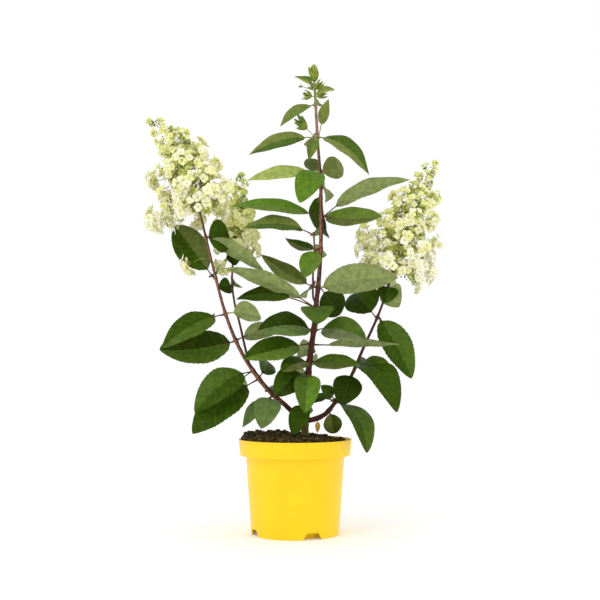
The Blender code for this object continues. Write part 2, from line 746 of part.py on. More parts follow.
# Buds and bracts of the shoot's tip, from the top of the centre stem: across, back and up.
TIP_LENGTH = 46
TIP_BUDS = [
    (-2, 0, 43, 7.6, 26), (7, -3, 22, 4.4, 17), (10, -4, 4, 5, 12), (-14, -4, 3, 5, 11),
    (-6, 7, 22, 3.6, 11)]
TIP_BRACTS = [
    (24, Leaf(-34, 12, 40, FRONT, 11, 2, 55)),
    (28, Leaf(-19, 14, 27, BACK, 6, 1, 50)),
    (12, Leaf(32, 5, 36, FRONT, 14, 5, 50)),
    (16, Leaf(11, 14, 24, BACK, 9, 2, 60)),
    (30, Leaf(-10, 22, 26, FRONT, 8, 1, 70))]


def make_tip(home, scratch):
    path = stem_path("stem_centre")
    top = path[-1]
    along = (path[-1] - path[-2]).normalized()
    start = top + along * CLEAR * 1.2
    end = start + along * TIP_LENGTH * MM
    size = STEMS["stem_centre"].tip_radius * MM
    axis = tube("bud_tip", [start, start.lerp(end, 0.5), end], [size, 0.8 * size, 0.5 * size], 6, home)
    for across, back, up, radius, length in TIP_BUDS:
        centre = top + Vector((across, back, up)) * MM
        inner = top + along * max(up - 8, 3) * MM
        make_bud(centre, radius * MM, length * MM, (centre - inner).normalized(), scratch)
        make_twig(inner, centre, TWIG_RADIUS, scratch)
    for height, leaf in TIP_BRACTS:
        node = top + along * height * MM
        line = leaf_line(leaf, node, along, 0.8 * MM)
        make_stalk(leaf, line, scratch)
        make_blade(leaf, line, scratch)
    return fuse(axis, scratch)


def finish(thing, material):
    thing.data.materials.clear()
    thing.data.materials.append(material)


def main():
    clear_scene()
    home = new_collection("panicle_hydrangea")
    cutters = new_collection("cutters")
    scratch = new_collection("scratch")
    leaf = new_material("leaf", LEAF_GREEN, 0.5)
    bark = new_material("bark", BARK_BROWN, 0.7)
    blossom = new_material("blossom", CREAM, 0.6)
    bud = new_material("bud", BUD_GREEN, 0.6)
    dead = new_material("dead_leaf", DEAD_TAN, 0.8)
    plastic = new_material("pot_plastic", POT_YELLOW, 0.4)
    earth = new_material("earth", SOIL_BROWN, 0.95)
    finish(make_pot(home, cutters), plastic)
    finish(make_soil(home), earth)
    for name in STEMS:
        finish(make_stem(name, home, cutters), bark)
    for name in WHORLS:
        finish(make_whorl(name, home, scratch), dead if name == "leaf_withered" else leaf)
    for name in PANICLES:
        finish(make_panicle(name, home, scratch), blossom)
    finish(make_tip(home, scratch), bud)
    bpy.data.collections.remove(scratch)


main()
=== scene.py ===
"""The looks of a panicle hydrangea in a yellow nursery pot.

The tables and the functions that place leaves and flowers repeat the part's source, in millimetres
and degrees, and add each leaf's tones. +Z is up and the viewer looks along +Y. Colours are sRGB
values up to 255.
"""

import math
import random
from collections import namedtuple

import bmesh
import bpy
from mathutils import Matrix, Vector, noise


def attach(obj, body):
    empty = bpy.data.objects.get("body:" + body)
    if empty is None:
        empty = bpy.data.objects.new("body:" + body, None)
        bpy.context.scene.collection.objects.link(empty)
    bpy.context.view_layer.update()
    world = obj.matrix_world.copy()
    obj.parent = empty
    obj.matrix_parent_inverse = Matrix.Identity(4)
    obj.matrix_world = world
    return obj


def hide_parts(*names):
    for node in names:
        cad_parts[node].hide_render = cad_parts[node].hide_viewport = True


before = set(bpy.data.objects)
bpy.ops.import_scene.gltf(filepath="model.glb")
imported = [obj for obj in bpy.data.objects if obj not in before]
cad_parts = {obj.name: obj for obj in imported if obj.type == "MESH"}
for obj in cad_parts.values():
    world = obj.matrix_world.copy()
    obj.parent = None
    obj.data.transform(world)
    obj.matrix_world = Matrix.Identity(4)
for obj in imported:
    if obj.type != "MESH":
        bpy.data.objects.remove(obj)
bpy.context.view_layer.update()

MM = 0.001
UP = Vector((0, 0, 1))
FRONT = -1
BACK = 1
GOLDEN_ANGLE = math.radians(137.508)

# Pot and soil, with the part's sizes. A rate says how fast a noise pattern changes in a metre.
POT_HEIGHT = 157 * MM
RIM_RADIUS = 95 * MM
BAND_RADIUS = 92 * MM
BAND_FOOT = 130 * MM
BODY_RADIUS = 82.5 * MM
FOOT_RADIUS = 73 * MM
WALL = 1.8 * MM
PAD_RADIUS = 56 * MM
CHANNEL_RADIUS = 62 * MM
CHANNEL_HEIGHT = 12.5 * MM
NOTCH_COUNT = 4
NOTCH_BEARING = math.radians(-67)
NOTCH_WIDTH = 34 * MM
NOTCH_HEIGHT = 11 * MM
NOTCH_DEPTH = 12 * MM
NOTCH_TOP_SHARE = 0.6
NOTCH_CORNER = 1.5 * MM
POT_CORNER = 1.1 * MM
POT_STEPS = 144
POT_CREASE = math.radians(40)
SOIL_HEIGHT = 161 * MM
SOIL_RADIUS = 90.5 * MM
SOIL_SLOPE = 0.065
SOIL_LUMP = 4 * MM
SOIL_LUMP_PITCH = 22 * MM
SOIL_CALM_RADIUS = 9 * MM
SOIL_CALM_FADE = 13 * MM
CRUMB = 1.6 * MM
CRUMB_RATE = 190
FINE_CRUMB = 0.8 * MM
FINE_CRUMB_RATE = 520
SOIL_TONE_RATE = 260
SOIL_EDGE = 8 * MM
SOIL_EDGE_START = 0.86
SOIL_DIP = 2 * MM
SOIL_DIP_START = 36 * MM
SOIL_RINGS = 44
SOIL_STEPS = 150
CLOD_COUNT = 420
CLOD_LEAST = 0.9 * MM
CLOD_MOST = 3.4 * MM
CLOD_SHARES = {"soil_dark": 4, "soil": 5, "soil_brown": 2, "soil_straw": 0.5}
SKIRT_FOOT = 20 * MM
SKIRT_TOP = POT_HEIGHT - 8 * MM
SKIRT_GAP = 1 * MM

# Stems. Heights where the bark changes are in millimetres.
MAIN_STEM = "stem_centre"
STEM_SINK = 3 * MM
STEM_SIDES = 16
STEM_STEP = 3.5 * MM
TAPER_POWER = 1.5
FLARE = 0.25
FLARE_REACH = 9 * MM
NODE_SWELL = 0.9 * MM
NODE_REACH = 4.5 * MM
BARK_SHARE = 0.97
BARK_RELIEF = 0.05
RIDGE_RATE = 28
SPOT_RATE = 420
SPOT_START = 0.35
SPOT_RELIEF = 0.5
BARK_RAGGED = 14
SHOOT_FROM = 716
YOUNG_BARK_FROM = 650
FOOT_BARK_TO = 196
# Above these heights the side of the bark turned to the key light gets painted light.
LIT_BARK_FROM = 420
LIT_BARK_FROM_LEFT = 220

# Leaves. Widths and lengths that MM doesn't scale are in millimetres.
BLADE_WIDEST = 0.42
BLADE_TAPER = 0.62
SLENDER_TAPER = 1.0
SLENDER = 0.3
BROAD = 0.48
BLADE_BASE = 0.55
BLADE_FOLD = 14
BLADE_THICKNESS = 0.35 * MM
BLADE_LEAST = 0.35
VEINS = 8
VEIN_START = 0.06
VEIN_REACH = 0.84
VEIN_SWEEP = 0.2
VEIN_WIDTH = 0.011
VEIN_DEPTH = 0.42 * MM
VEIN_FULL_AT = 40
MIDRIB_HALF = 0.85 * MM
MIDRIB_RIDGE = 0.7 * MM
COLUMNS = [-1.0, -0.93, -0.78, -0.55, -0.3, -0.01, 0.01, 0.3, 0.55, 0.78, 0.93, 1.0]
MIDDLE_CELL = len(COLUMNS) // 2 - 1
TEETH = 0.018
RIPPLE = 0.006
RIPPLE_WAVES = 2.6
CRUMPLE = 0.09
CRUMPLE_RATE = 300
STALK_RADIUS = 1.0 * MM
STALK_SIZES = [1.5, 1.6, 1.25, 1, 1, 1, 0.85, 0.5]
STALK_FULL_AT = 24
STALK_SINK = 0.14
GREEN_STALK_FROM = 560 * MM
COLLAR_RADIUS = 1.5 * MM
COLLAR_CLEAR = 0.36 * MM
COLLAR_SIDES = 8

# Buds. Each lobe of a fan has an angle and a share of the fan's length. A bud with a radius over
# BIG_BUD millimetres has a thicker heart and closer bracts.
BUD_ROWS = 9
BUD_SIDES = 10
BUD_RIDGE = 0.14
BUD_FAN = [(-44, 0.62), (-24, 0.8), (-6, 0.85), (12, 1.0), (32, 0.75)]
BUD_FAN_RADIUS = 3.4 * MM
BIG_BUD = 6
HEART = 0.45
BIG_HEART = 0.7
BRACT_SPREAD = 1.45
BIG_BRACT_SPREAD = 0.3
BRACT_REACH = 0.55

# Flowers.
FLORET_SIZE = 10.5 * MM
FLORETS_PER_CLUSTER = 7.4
FLORET_DROOP = 0.3
SEPAL_ROWS = 4
SEPAL_COLUMNS = 2
SEPAL_HALF = 0.54
SEPAL_THICKNESS = 0.25 * MM
EYE_RADIUS = 0.85 * MM
EYE_RISE = 0.8 * MM
BRANCH_REACH = (1, 0.8, 0.5)
INNER_GREEN = 0.35
PEDICEL_RADIUS = 0.4 * MM
BUD_STALK_RADIUS = 0.26 * MM
BUD_RADIUS = 1.35 * MM
BUDS_PER_CLUSTER = 12
TWIG_FOOT = 0.07

# The camera stands where the photo's stood.
CAMERA_PLACE = (8 * MM, -1.8, 288 * MM)
CAMERA_AIM = (8 * MM, 0, 389.5 * MM)
CAMERA_LENS = 64.15
CAMERA_SENSOR = 36

# Each light's name, place and width in metres, and power in watts.
LIGHTS = [("key", (-1.3, -1.7, 2.1), 1.1, 9), ("fill", (1.9, -1.2, 1.1), 1.4, 1.5)]
LIGHT_AIM = (0, 0, 0.4)
FLOOR_WIDTH = 12
FLOOR_GLOW = 0.1

Stem = namedtuple("Stem", "foot_radius tip_radius points")
Whorl = namedtuple("Whorl", "stem height leaves")
Panicle = namedtuple("Panicle", "stem points reach branches seed")

# A leaf's fields are the source's, then the tones of its near and its far half, which paint the light
# and shade that fall on the two halves of the folded blade.
Leaf = namedtuple("Leaf", "across up length depth width arch lean near far turn stalk",
                  defaults=(0, 0.15))

STEMS = {
    "stem_centre": Stem(6.2, 2.3, [
        (16, 0, 161.3), (18, 0, 210), (24, 0, 286), (31, -2, 339), (36, -1, 388), (41, 0, 440),
        (44, 2, 515), (43, 1, 590), (38, 0, 660), (34, 0, 734)]),
    "stem_side": Stem(1.9, 1.5, [
        (35, 0, 384), (30, -4, 396), (30, -6, 435), (32, -7, 475), (31, -7, 504)]),
    "stem_left": Stem(4.6, 2.0, [
        (16, 0, 180), (-12, -4, 209), (-38, -8, 232), (-61, -12, 258), (-91, -17, 304),
        (-116, -21, 365), (-136, -26, 440), (-159, -30, 535)]),
    "stem_left_inner": Stem(2.2, 1.7, [
        (-77, -15, 283), (-85, 2, 312), (-94, 16, 348), (-104, 28, 386), (-109, 36, 424),
        (-107, 44, 480)]),
    "stem_right": Stem(4.0, 1.9, [
        (17, 0, 186), (42, 4, 193), (61, 8, 209), (92, 16, 256), (116, 22, 309), (145, 28, 373),
        (168, 34, 441)]),
}

WHORLS = {
    "leaves_centre_1": Whorl("stem_centre", 722, [
        Leaf(-60, -41, 75, FRONT, 26, 9, 45, "fresh", "olive", stalk=0.08),
        Leaf(6, 10, 50, BACK, 20, 6, 45, "olive", "fresh", turn=90)]),
    "leaves_centre_2": Whorl("stem_centre", 666, [
        Leaf(-115, -33, 121, FRONT, 36, 13, 54, "mid", "olive"),
        Leaf(86, -68, 112, FRONT, 38, 21, 48, "olive", "mid", stalk=0.06),
        Leaf(-15, -48, 64, FRONT, 20, 10, 62, "fresh", "moss"),
        Leaf(18, 58, 70, FRONT, 20, 4, 60, "olive", "olive", stalk=0.35),
        Leaf(-42, 34, 56, FRONT, 15, 2, 60, "buds", "buds", stalk=0.4),
        Leaf(-4, 0, 100, BACK, 30, 12, 45, "mid", "fresh", turn=-90)]),
    "leaves_centre_3": Whorl("stem_centre", 607, [
        Leaf(-123, -18, 126, FRONT, 36, 6, 50, "lime", "lime"),
        Leaf(-34, -60, 86, FRONT, 50, 14, 58, "bright", "bright", stalk=0.08),
        Leaf(40, 19, 62, BACK, 42, 4, 80, "olive", "olive", turn=35, stalk=0.05),
        Leaf(-23, 28, 48, BACK, 26, 2, 70, "moss", "moss", stalk=0.1),
        Leaf(10, -14, 100, BACK, 32, 8, 45, "mid", "fresh", turn=-90)]),
    "leaves_centre_4": Whorl("stem_centre", 582, [
        Leaf(16, -80, 106, BACK, 42, 16, 70, "deep", "dark", turn=-35),
        Leaf(10, -14, 90, BACK, 26, 10, 45, "olive", "olive", turn=90)]),
    "leaves_centre_5": Whorl("stem_centre", 531, [
        Leaf(-150, 12, 156, FRONT, 36, 11, 49, "fresh", "bright", stalk=0.12),
        Leaf(148, 58, 162, FRONT, 36, 24, -40, "olive", "olive"),
        Leaf(98, -8, 118, FRONT, 48, -5, 56, "moss", "fresh", stalk=0.03)]),
    "leaves_side_1": Whorl("stem_side", 500, [
        Leaf(-117, 7, 120, FRONT, 42, 15, 45, "mid", "olive"),
        Leaf(14, 6, 70, BACK, 22, 6, 45, "mid", "mid", turn=-90)]),
    "leaves_centre_6": Whorl("stem_centre", 476, [
        Leaf(-61, 24, 80, BACK, 24, -8, 55, "moss", "dark"),
        Leaf(-27, -50, 62, FRONT, 38, 8, 60, "fresh", "bright", turn=-10),
        Leaf(-14, -10, 105, BACK, 28, 10, 45, "dark", "mid", turn=90)]),
    "leaves_centre_7": Whorl("stem_centre", 411, [
        Leaf(131, 14, 138, FRONT, 58, 12, -60, "pale", "pale", stalk=0.02),
        Leaf(-99, 61, 125, BACK, 36, -9, 52, "olive", "moss"),
        Leaf(37, -46, 68, BACK, 50, 5, 80, "deep", "deep"),
        Leaf(-20, -12, 112, BACK, 38, 8, 45, "mid", "dark", turn=-90)]),
    "leaves_centre_8": Whorl("stem_centre", 378, [
        Leaf(-153, 62, 170, FRONT, 34, 16, -50, "grey", "grey", stalk=0.14),
        Leaf(-137, 15, 143, BACK, 40, 20, 50, "dark", "deep", stalk=0.28),
        Leaf(2, -31, 72, FRONT, 56, 7, 46, "mid", "mid")]),
    "leaves_centre_9": Whorl("stem_centre", 339, [
        Leaf(-91, -3, 108, FRONT, 54, 12, 58, "sage", "deep", stalk=0.05),
        Leaf(84, -18, 105, FRONT, 54, 14, 54, "dusk", "mid"),
        Leaf(8, 0, 104, BACK, 28, 6, 45, "mid", "dark", turn=-90)]),
    "leaves_centre_10": Whorl("stem_centre", 315, [
        Leaf(-111, -24, 128, FRONT, 54, 3, 52, "fresh", "dark"),
        Leaf(144, -1, 148, FRONT, 38, -1, -22, "olive", "grey"),
        Leaf(-26, -24, 110, BACK, 32, 10, 45, "mid", "dark", turn=90)]),
    "leaves_centre_11": Whorl("stem_centre", 286, [
        Leaf(-46, -17, 76, FRONT, 40, 5, 45, "moss", "dark", stalk=0.05),
        Leaf(81, -5, 100, FRONT, 38, 0, 50, "moss", "mid", stalk=0.03),
        Leaf(16, -6, 110, BACK, 30, 6, 45, "dark", "mid", turn=-90)]),
    "leaves_centre_12": Whorl("stem_centre", 266, [
        Leaf(-6, -63, 90, FRONT, 45, 20, 75, "bright", "mid"),
        Leaf(-55, -36, 80, FRONT, 52, 12, 60, "deep", "dark"),
        Leaf(-30, -16, 112, BACK, 40, 8, 45, "mid", "dark", turn=90)]),
    "leaves_centre_13": Whorl("stem_centre", 218, [
        Leaf(-22, -52, 70, FRONT, 35, 10, 75, "dark", "dark"),
        Leaf(-14, -30, 88, BACK, 30, 10, 45, "dark", "mid", turn=90)]),
    "leaves_left_1": Whorl("stem_left", 492, [
        Leaf(97, -56, 113, BACK, 34, 6, -40, "grey", "moss", stalk=0.05),
        Leaf(38, 2, 46, BACK, 60, 4, 80, "dark", "dark", stalk=0.03)]),
    "leaves_left_2": Whorl("stem_left", 424, [
        Leaf(-74, 94, 128, BACK, 58, 10, 66, "moss", "dark", turn=-20),
        Leaf(6, 14, 60, BACK, 30, 8, 45, "mid", "dark", turn=-90)]),
    "leaves_left_3": Whorl("stem_left", 365, [
        Leaf(-98, -58, 130, FRONT, 50, 15, 55, "mid", "dark"),
        Leaf(60, -7, 64, FRONT, 44, 8, -50, "pale", "grey"),
        Leaf(-50, -28, 110, BACK, 38, 8, 45, "mid", "dark", turn=-90, stalk=0.35)]),
    "leaves_left_4": Whorl("stem_left", 321, [
        Leaf(-121, -16, 130, FRONT, 68, -11, 60, "mid", "deep", stalk=0.04),
        Leaf(70, 15, 74, BACK, 40, 8, -50, "grey", "olive")]),
    "leaves_left_5": Whorl("stem_left", 271, [
        Leaf(-91, -66, 128, FRONT, 58, 24, 55, "dark", "mid"),
        Leaf(-56, -44, 112, BACK, 40, 8, 45, "mid", "dark", turn=90, stalk=0.35)]),
    "leaves_left_6": Whorl("stem_left", 258, [
        Leaf(-104, -88, 148, FRONT, 66, 14, 55, "dark", "dark"),
        Leaf(10, 30, 90, BACK, 40, 8, 45, "mid", "dark", turn=90)]),
    "leaves_left_7": Whorl("stem_left", 231, [
        Leaf(-49, -53, 82, FRONT, 26, 16, 60, "sage", "sage", stalk=0.3),
        Leaf(-17, -53, 82, FRONT, 46, 12, 65, "sage", "sage"),
        Leaf(14, 14, 96, BACK, 38, 10, 45, "mid", "dark", turn=-90)]),
    "leaves_inner_1": Whorl("stem_left_inner", 416, [
        Leaf(-22, -5, 32, FRONT, 30, 3, 85, "deep", "dark", stalk=0.02),
        Leaf(-4, 4, 64, BACK, 30, 8, 45, "dark", "mid", turn=90)]),
    "leaves_inner_2": Whorl("stem_left_inner", 474, [
        Leaf(4, -24, 32, FRONT, 28, 4, 85, "deep", "dark"),
        Leaf(-26, -30, 80, BACK, 32, 4, 45, "mid", "dark", turn=-90)]),
    "leaves_right_1": Whorl("stem_right", 416, [
        Leaf(-7, -32, 44, FRONT, 38, 6, 70, "dark", "deep"),
        Leaf(23, -34, 66, BACK, 46, 8, -60, "pale", "pale", turn=30)]),
    "leaves_right_2": Whorl("stem_right", 361, [
        Leaf(56, -103, 120, FRONT, 54, 16, 65, "dark", "mid", stalk=0.05),
        Leaf(-38, 44, 80, BACK, 66, 8, 75, "deep", "dark"),
        Leaf(20, -30, 104, BACK, 42, 8, 45, "mid", "dark", turn=90)]),
    "leaves_right_3": Whorl("stem_right", 278, [
        Leaf(62, -74, 128, FRONT, 60, 32, 55, "dark", "dark", turn=20, stalk=0.02),
        Leaf(64, -20, 84, FRONT, 40, 16, 50, "dark", "mid", stalk=0.04),
        Leaf(-27, -63, 86, FRONT, 50, 10, 70, "deep", "deep", stalk=0.35),
        Leaf(40, -8, 110, BACK, 44, 6, 45, "mid", "dark", turn=90)]),
    "leaves_right_4": Whorl("stem_right", 219, [
        Leaf(-25, 27, 50, FRONT, 24, 6, 75, "dark", "dark", stalk=0.3),
        Leaf(48, -81, 115, FRONT, 54, 22, 70, "dark", "mid", turn=40, stalk=0.08),
        Leaf(-40, 0, 56, BACK, 22, 6, 60, "dark", "mid", stalk=0.3),
        Leaf(30, 4, 104, BACK, 40, 8, 45, "mid", "dark", turn=-90)]),
    "leaves_right_5": Whorl("stem_right", 203, [
        Leaf(12, -39, 46, BACK, 33, 4, 85, "olive", "moss", stalk=0.05)]),
    "leaf_withered": Whorl("stem_right", 191, [
        Leaf(1, -24, 27, FRONT, 9, 3, 80, "dead", "dead", stalk=0.1)]),
}

PANICLES = {
    "panicle_left": Panicle("stem_left", [
        (-178, -34, 600), (-196, -38, 647), (-241, -44, 686)], 72, 84, 3),
    "panicle_inner": Panicle("stem_left_inner", [
        (-100, 46, 520), (-96, 48, 560), (-94, 48, 612)], 44, 54, 5),
    "panicle_right": Panicle("stem_right", [
        (184, 36, 490), (200, 38, 542), (217, 40, 582), (243, 42, 630)], 77, 92, 8),
}

# Florets that hang apart from the heads: the middle of each spray, where its twig starts, how
# far it spreads, its number of florets and how unripe it is.
SPRAYS = [
    ((-233, -34, 520), (-163, -30, 541), 27, 22, 0.2),
    ((-212, -44, 536), (-163, -30, 541), 18, 12, 0.3),
    ((-236, -38, 585), (-176, -34, 590), 20, 14, 0.25),
    ((-180, -18, 449), (-141, -26, 456), 17, 15, 0.1),
    ((-124, 8, 446), (-106, 42, 472), 13, 8, 0.1),
    ((-76, 36, 500), (-104, 44, 492), 18, 14, 0.25),
    ((-70, 30, 474), (-104, 44, 492), 14, 9, 0.2),
    ((-132, 30, 520), (-104, 44, 500), 16, 10, 0.3),
    ((-142, 22, 552), (-100, 46, 520), 15, 9, 0.35),
    ((226, 30, 466), (172, 34, 452), 22, 15, 0.0),
    ((212, 26, 446), (172, 34, 452), 16, 11, 0.0),
    ((112, 24, 482), (172, 34, 456), 18, 11, 0.1),
    ((120, 28, 508), (180, 36, 478), 19, 14, 0.15),
]

# The shoot's tip, from the top of the centre stem: each bud's place, radius, length and number
# of bracts, and its young leaves with the height that each starts at.
TIP_LENGTH = 46
TIP_BUDS = [
    (-2, 0, 43, 7.6, 26, 8), (7, -3, 22, 4.4, 17, 5), (11, -4, 5, 5, 15, 7), (-14, -4, 4, 5.4, 15, 7),
    (-6, 7, 22, 3.6, 11, 4), (-25, 0, 21, 1.8, 6, 3)]
TIP_BRACTS = [
    (21, Leaf(-34, 12, 40, FRONT, 13, 3, 60, "young", "fresh", stalk=0.05)),
    (28, Leaf(-19, 14, 27, BACK, 8, 1, 60, "fresh", "mid")),
    (6, Leaf(33, 5, 36, FRONT, 16, 6, 60, "young", "olive", stalk=0.05)),
    (16, Leaf(11, 14, 24, BACK, 10, 2, 60, "fresh", "olive")),
    (30, Leaf(-10, 22, 26, FRONT, 9, 1, 70, "young", "olive"))]

# The tones of a blade's upper face, then the underside's and those of everything else. deep and dark
# are darker leaves, and are also painted shade for the leaves that hang in the shade inside the shrub.
LEAF_TONES = {
    "deep": (42, 60, 6),
    "dark": (54, 78, 10),
    "mid": (70, 96, 20),
    "fresh": (94, 120, 38),
    "bright": (86, 122, 24),
    "lime": (162, 177, 88),
    "olive": (112, 124, 54),
    "moss": (88, 100, 40),
    "pale": (140, 151, 88),
    "grey": (126, 137, 92),
    "young": (136, 150, 58),
    "sage": (92, 114, 56),
    "dusk": (106, 116, 74),
    "dead": (216, 172, 76),
}
UNDERSIDE = (136, 149, 90)
MOTTLE_BAND = (0.32, 0.68)
VEIN_TONE = 205
VEIN_SHARE = 0.08
LEAF_GLOSS = 0.12
DARK_LEAF_GLOSS = 0.03
# The sepals' faint glow is painted light.
SEPAL_GLOW = 0.05
POT_YELLOW = (255, 211, 6)
PAPER = (250, 250, 250)
OTHER_TONES = {
    "bark_young": (158, 116, 98),
    # bark_lit and bark_shade are the bark with painted light and painted shade.
    "bark_lit": (138, 98, 80),
    "bark": (84, 50, 41),
    "bark_shade": (52, 30, 26),
    "bark_foot": (100, 92, 54),
    "shoot": (146, 150, 88),
    "stalk": (84, 52, 36),
    "stalk_green": (142, 150, 78),
    "sepal_white": (255, 250, 236),
    "sepal_cream": (255, 251, 210),
    "sepal_butter": (252, 248, 186),
    "sepal_green": (236, 238, 158),
    "sepal_lime": (210, 219, 130),
    "sepal_moss": (172, 178, 94),
    "eye": (232, 228, 142),
    "bud_pale": (232, 231, 150),
    "bud_green": (194, 199, 106),
    "bud_dark": (98, 108, 38),
    "pedicel": (222, 220, 152),
    "soil_dark": (45, 37, 18),
    "soil": (72, 60, 29),
    "soil_brown": (104, 80, 42),
    "soil_straw": (136, 104, 68),
}

# The sepals' tones up to each limit of ripeness, those inside a head, which are painted shade for the
# head's depth, and the buds' tones.
SEPAL_STAGES = [
    (0.2, ["sepal_lime", "sepal_green"]),
    (0.5, ["sepal_green", "sepal_green", "sepal_butter"]),
    (0.8, ["sepal_butter", "sepal_butter", "sepal_cream", "sepal_green"]),
    (0.98, ["sepal_cream", "sepal_butter", "sepal_cream"]),
    (math.inf, ["sepal_white", "sepal_cream", "sepal_cream"]),
]
SHADED_INNER_SEPALS = ["sepal_lime", "sepal_moss", "sepal_moss", "sepal_green"]
OUTER_BUDS = ["bud_pale", "bud_pale", "bud_green", "bud_green", "bud_dark"]


def paint(colour):
    """An sRGB colour as linear light, with full cover."""
    shares = [channel / 255 for channel in colour]
    return (*(s / 12.92 if s <= 0.04045 else ((s + 0.055) / 1.055) ** 2.4 for s in shares), 1)


def shade(colour, factor):
    return tuple(min(255, channel * factor) for channel in colour)


def add_node(tree, kind, **values):
    """A shader node with the inputs named set to their values."""
    made = tree.nodes.new("ShaderNode" + kind)
    for name, value in values.items():
        made.inputs[name].default_value = value
    return made


def new_material(name, colour, roughness, gloss=LEAF_GLOSS, mottle=0.1, pitch=9 * MM,
                 grain=0.6 * MM, bump=0.2):
    """A Principled surface whose colour is mottled at a pitch and whose relief has a fine grain."""
    made = bpy.data.materials.new(name)
    made.use_nodes = True
    tree = made.node_tree
    join = tree.links.new
    shader = tree.nodes["Principled BSDF"].inputs
    shader["Roughness"].default_value = roughness
    shader["Specular IOR Level"].default_value = gloss
    place = add_node(tree, "TexCoord").outputs["Object"]
    cloud = add_node(tree, "TexNoise", Scale=1 / pitch, Detail=3)
    blend = add_node(tree, "ValToRGB")
    low, high = blend.color_ramp.elements
    low.position, high.position = MOTTLE_BAND
    low.color = paint(shade(colour, 1 - mottle))
    high.color = paint(shade(colour, 1 + mottle))
    fine = add_node(tree, "TexNoise", Scale=1 / grain)
    relief = add_node(tree, "Bump", Strength=bump, Distance=grain)
    join(place, cloud.inputs["Vector"])
    join(cloud.outputs["Fac"], blend.inputs["Fac"])
    join(blend.outputs["Color"], shader["Base Color"])
    join(place, fine.inputs["Vector"])
    join(fine.outputs["Fac"], relief.inputs["Height"])
    join(relief.outputs["Normal"], shader["Normal"])
    return made


def add_glow(made, colour, strength):
    """A faint glow: an evenly bright white floor, or painted light on a sepal that stands in for the
    light that comes through it.
    """
    shader = made.node_tree.nodes["Principled BSDF"].inputs
    shader["Emission Color"].default_value = paint(colour)
    shader["Emission Strength"].default_value = strength


def make_materials():
    made = {}
    for name, colour in LEAF_TONES.items():
        gloss = DARK_LEAF_GLOSS if name in ("deep", "dark") else LEAF_GLOSS
        vein = tuple(channel + (VEIN_TONE - channel) * VEIN_SHARE for channel in colour)
        made[name] = new_material("leaf_" + name, colour, 0.42, gloss)
        made[name + "_vein"] = new_material("vein_" + name, vein, 0.5)
    made["under"] = new_material("leaf_under", UNDERSIDE, 0.62)
    made["under_vein"] = new_material("vein_under", shade(UNDERSIDE, 1.08), 0.6)
    for name, colour in OTHER_TONES.items():
        made[name] = new_material(
            name, colour, roughness=0.95 if name.startswith("soil") else 0.55, gloss=0.1,
            mottle=0.06 if name.startswith("sepal") else 0.14, pitch=4 * MM, grain=0.5 * MM,
            bump=0.6 if name.startswith(("soil", "bark")) else 0.15)
        # Sepals glow faintly: painted light that lifts them where they are in shade.
        if name.startswith("sepal"):
            add_glow(made[name], colour, SEPAL_GLOW)
    made["pot"] = new_material("pot_yellow", POT_YELLOW, roughness=0.36, gloss=0.35, mottle=0.012,
                               pitch=40 * MM, grain=1.2 * MM, bump=0.04)
    return made


MATERIALS = make_materials()


def solid_mesh(name, points, faces):
    """A mesh whose faces all look outward."""
    mesh = bpy.data.meshes.new(name)
    mesh.from_pydata(points, [], faces)
    shape = bmesh.new()
    shape.from_mesh(mesh)
    bmesh.ops.recalc_face_normals(shape, faces=shape.faces)
    shape.to_mesh(mesh)
    shape.free()
    return mesh


def new_object(name, data):
    """An object that is in the scene."""
    made = bpy.data.objects.new(name, data)
    bpy.context.scene.collection.objects.link(made)
    return made


class Form:
    """Points and faces gathered for one piece, each face with its material's name."""

    def __init__(self):
        self.points = []
        self.faces = []
        self.skins = []

    def add(self, points, faces, skins):
        base = len(self.points)
        self.points.extend(points)
        self.faces.extend(tuple(base + k for k in face) for face in faces)
        if isinstance(skins, str):
            skins = [skins] * len(faces)
        self.skins.extend(skins)

    def piece(self, name, slot, *nodes):
        """The gathered mesh as a piece of the object, in place of the CAD nodes named."""
        mesh = solid_mesh(name, self.points, self.faces)
        names = sorted(set(self.skins))
        for skin in names:
            mesh.materials.append(MATERIALS[skin])
        mesh.polygons.foreach_set("material_index", [names.index(skin) for skin in self.skins])
        mesh.polygons.foreach_set("use_smooth", [True] * len(self.faces))
        adopt(new_object(name, mesh), slot, *nodes)


def adopt(made, slot, *nodes):
    """Makes an object a piece that rides on the part."""
    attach(made, "root")
    if nodes:
        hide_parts(*nodes)


def strips(rows, columns, closed):
    """Faces of a grid of points, row after row; closed joins each row's ends."""
    faces = []
    for row in range(rows - 1):
        for column in range(columns if closed else columns - 1):
            after = (column + 1) % columns
            a = row * columns
            b = a + columns
            faces.append((a + column, a + after, b + after, b + column))
    return faces


def ring_point(radius, turn, height):
    """A point on a ring round the Z axis, at a share of a turn."""
    angle = math.tau * turn
    return Vector((radius * math.cos(angle), radius * math.sin(angle), height))


def tube_faces(rows, sides):
    """Faces round a tube's rows of points, then one at each end."""
    last = (rows - 1) * sides
    ends = [tuple(reversed(range(sides))), tuple(range(last, last + sides))]
    return strips(rows, sides, True) + ends


def sheet_faces(rows, width):
    """Faces of a thin closed sheet: the top's, then the underside's and the rim's."""
    count = rows * width
    top = strips(rows, width, False)
    under = [tuple(k + count for k in reversed(quad)) for quad in top]
    border = list(range(width)) + [row * width + width - 1 for row in range(1, rows)]
    border += [(rows - 1) * width + k for k in range(width - 2, -1, -1)]
    border += [row * width for row in range(rows - 2, 0, -1)]
    rim = [(b, a, a + count, b + count) for a, b in zip(border, border[1:] + border[:1])]
    return top, under, rim


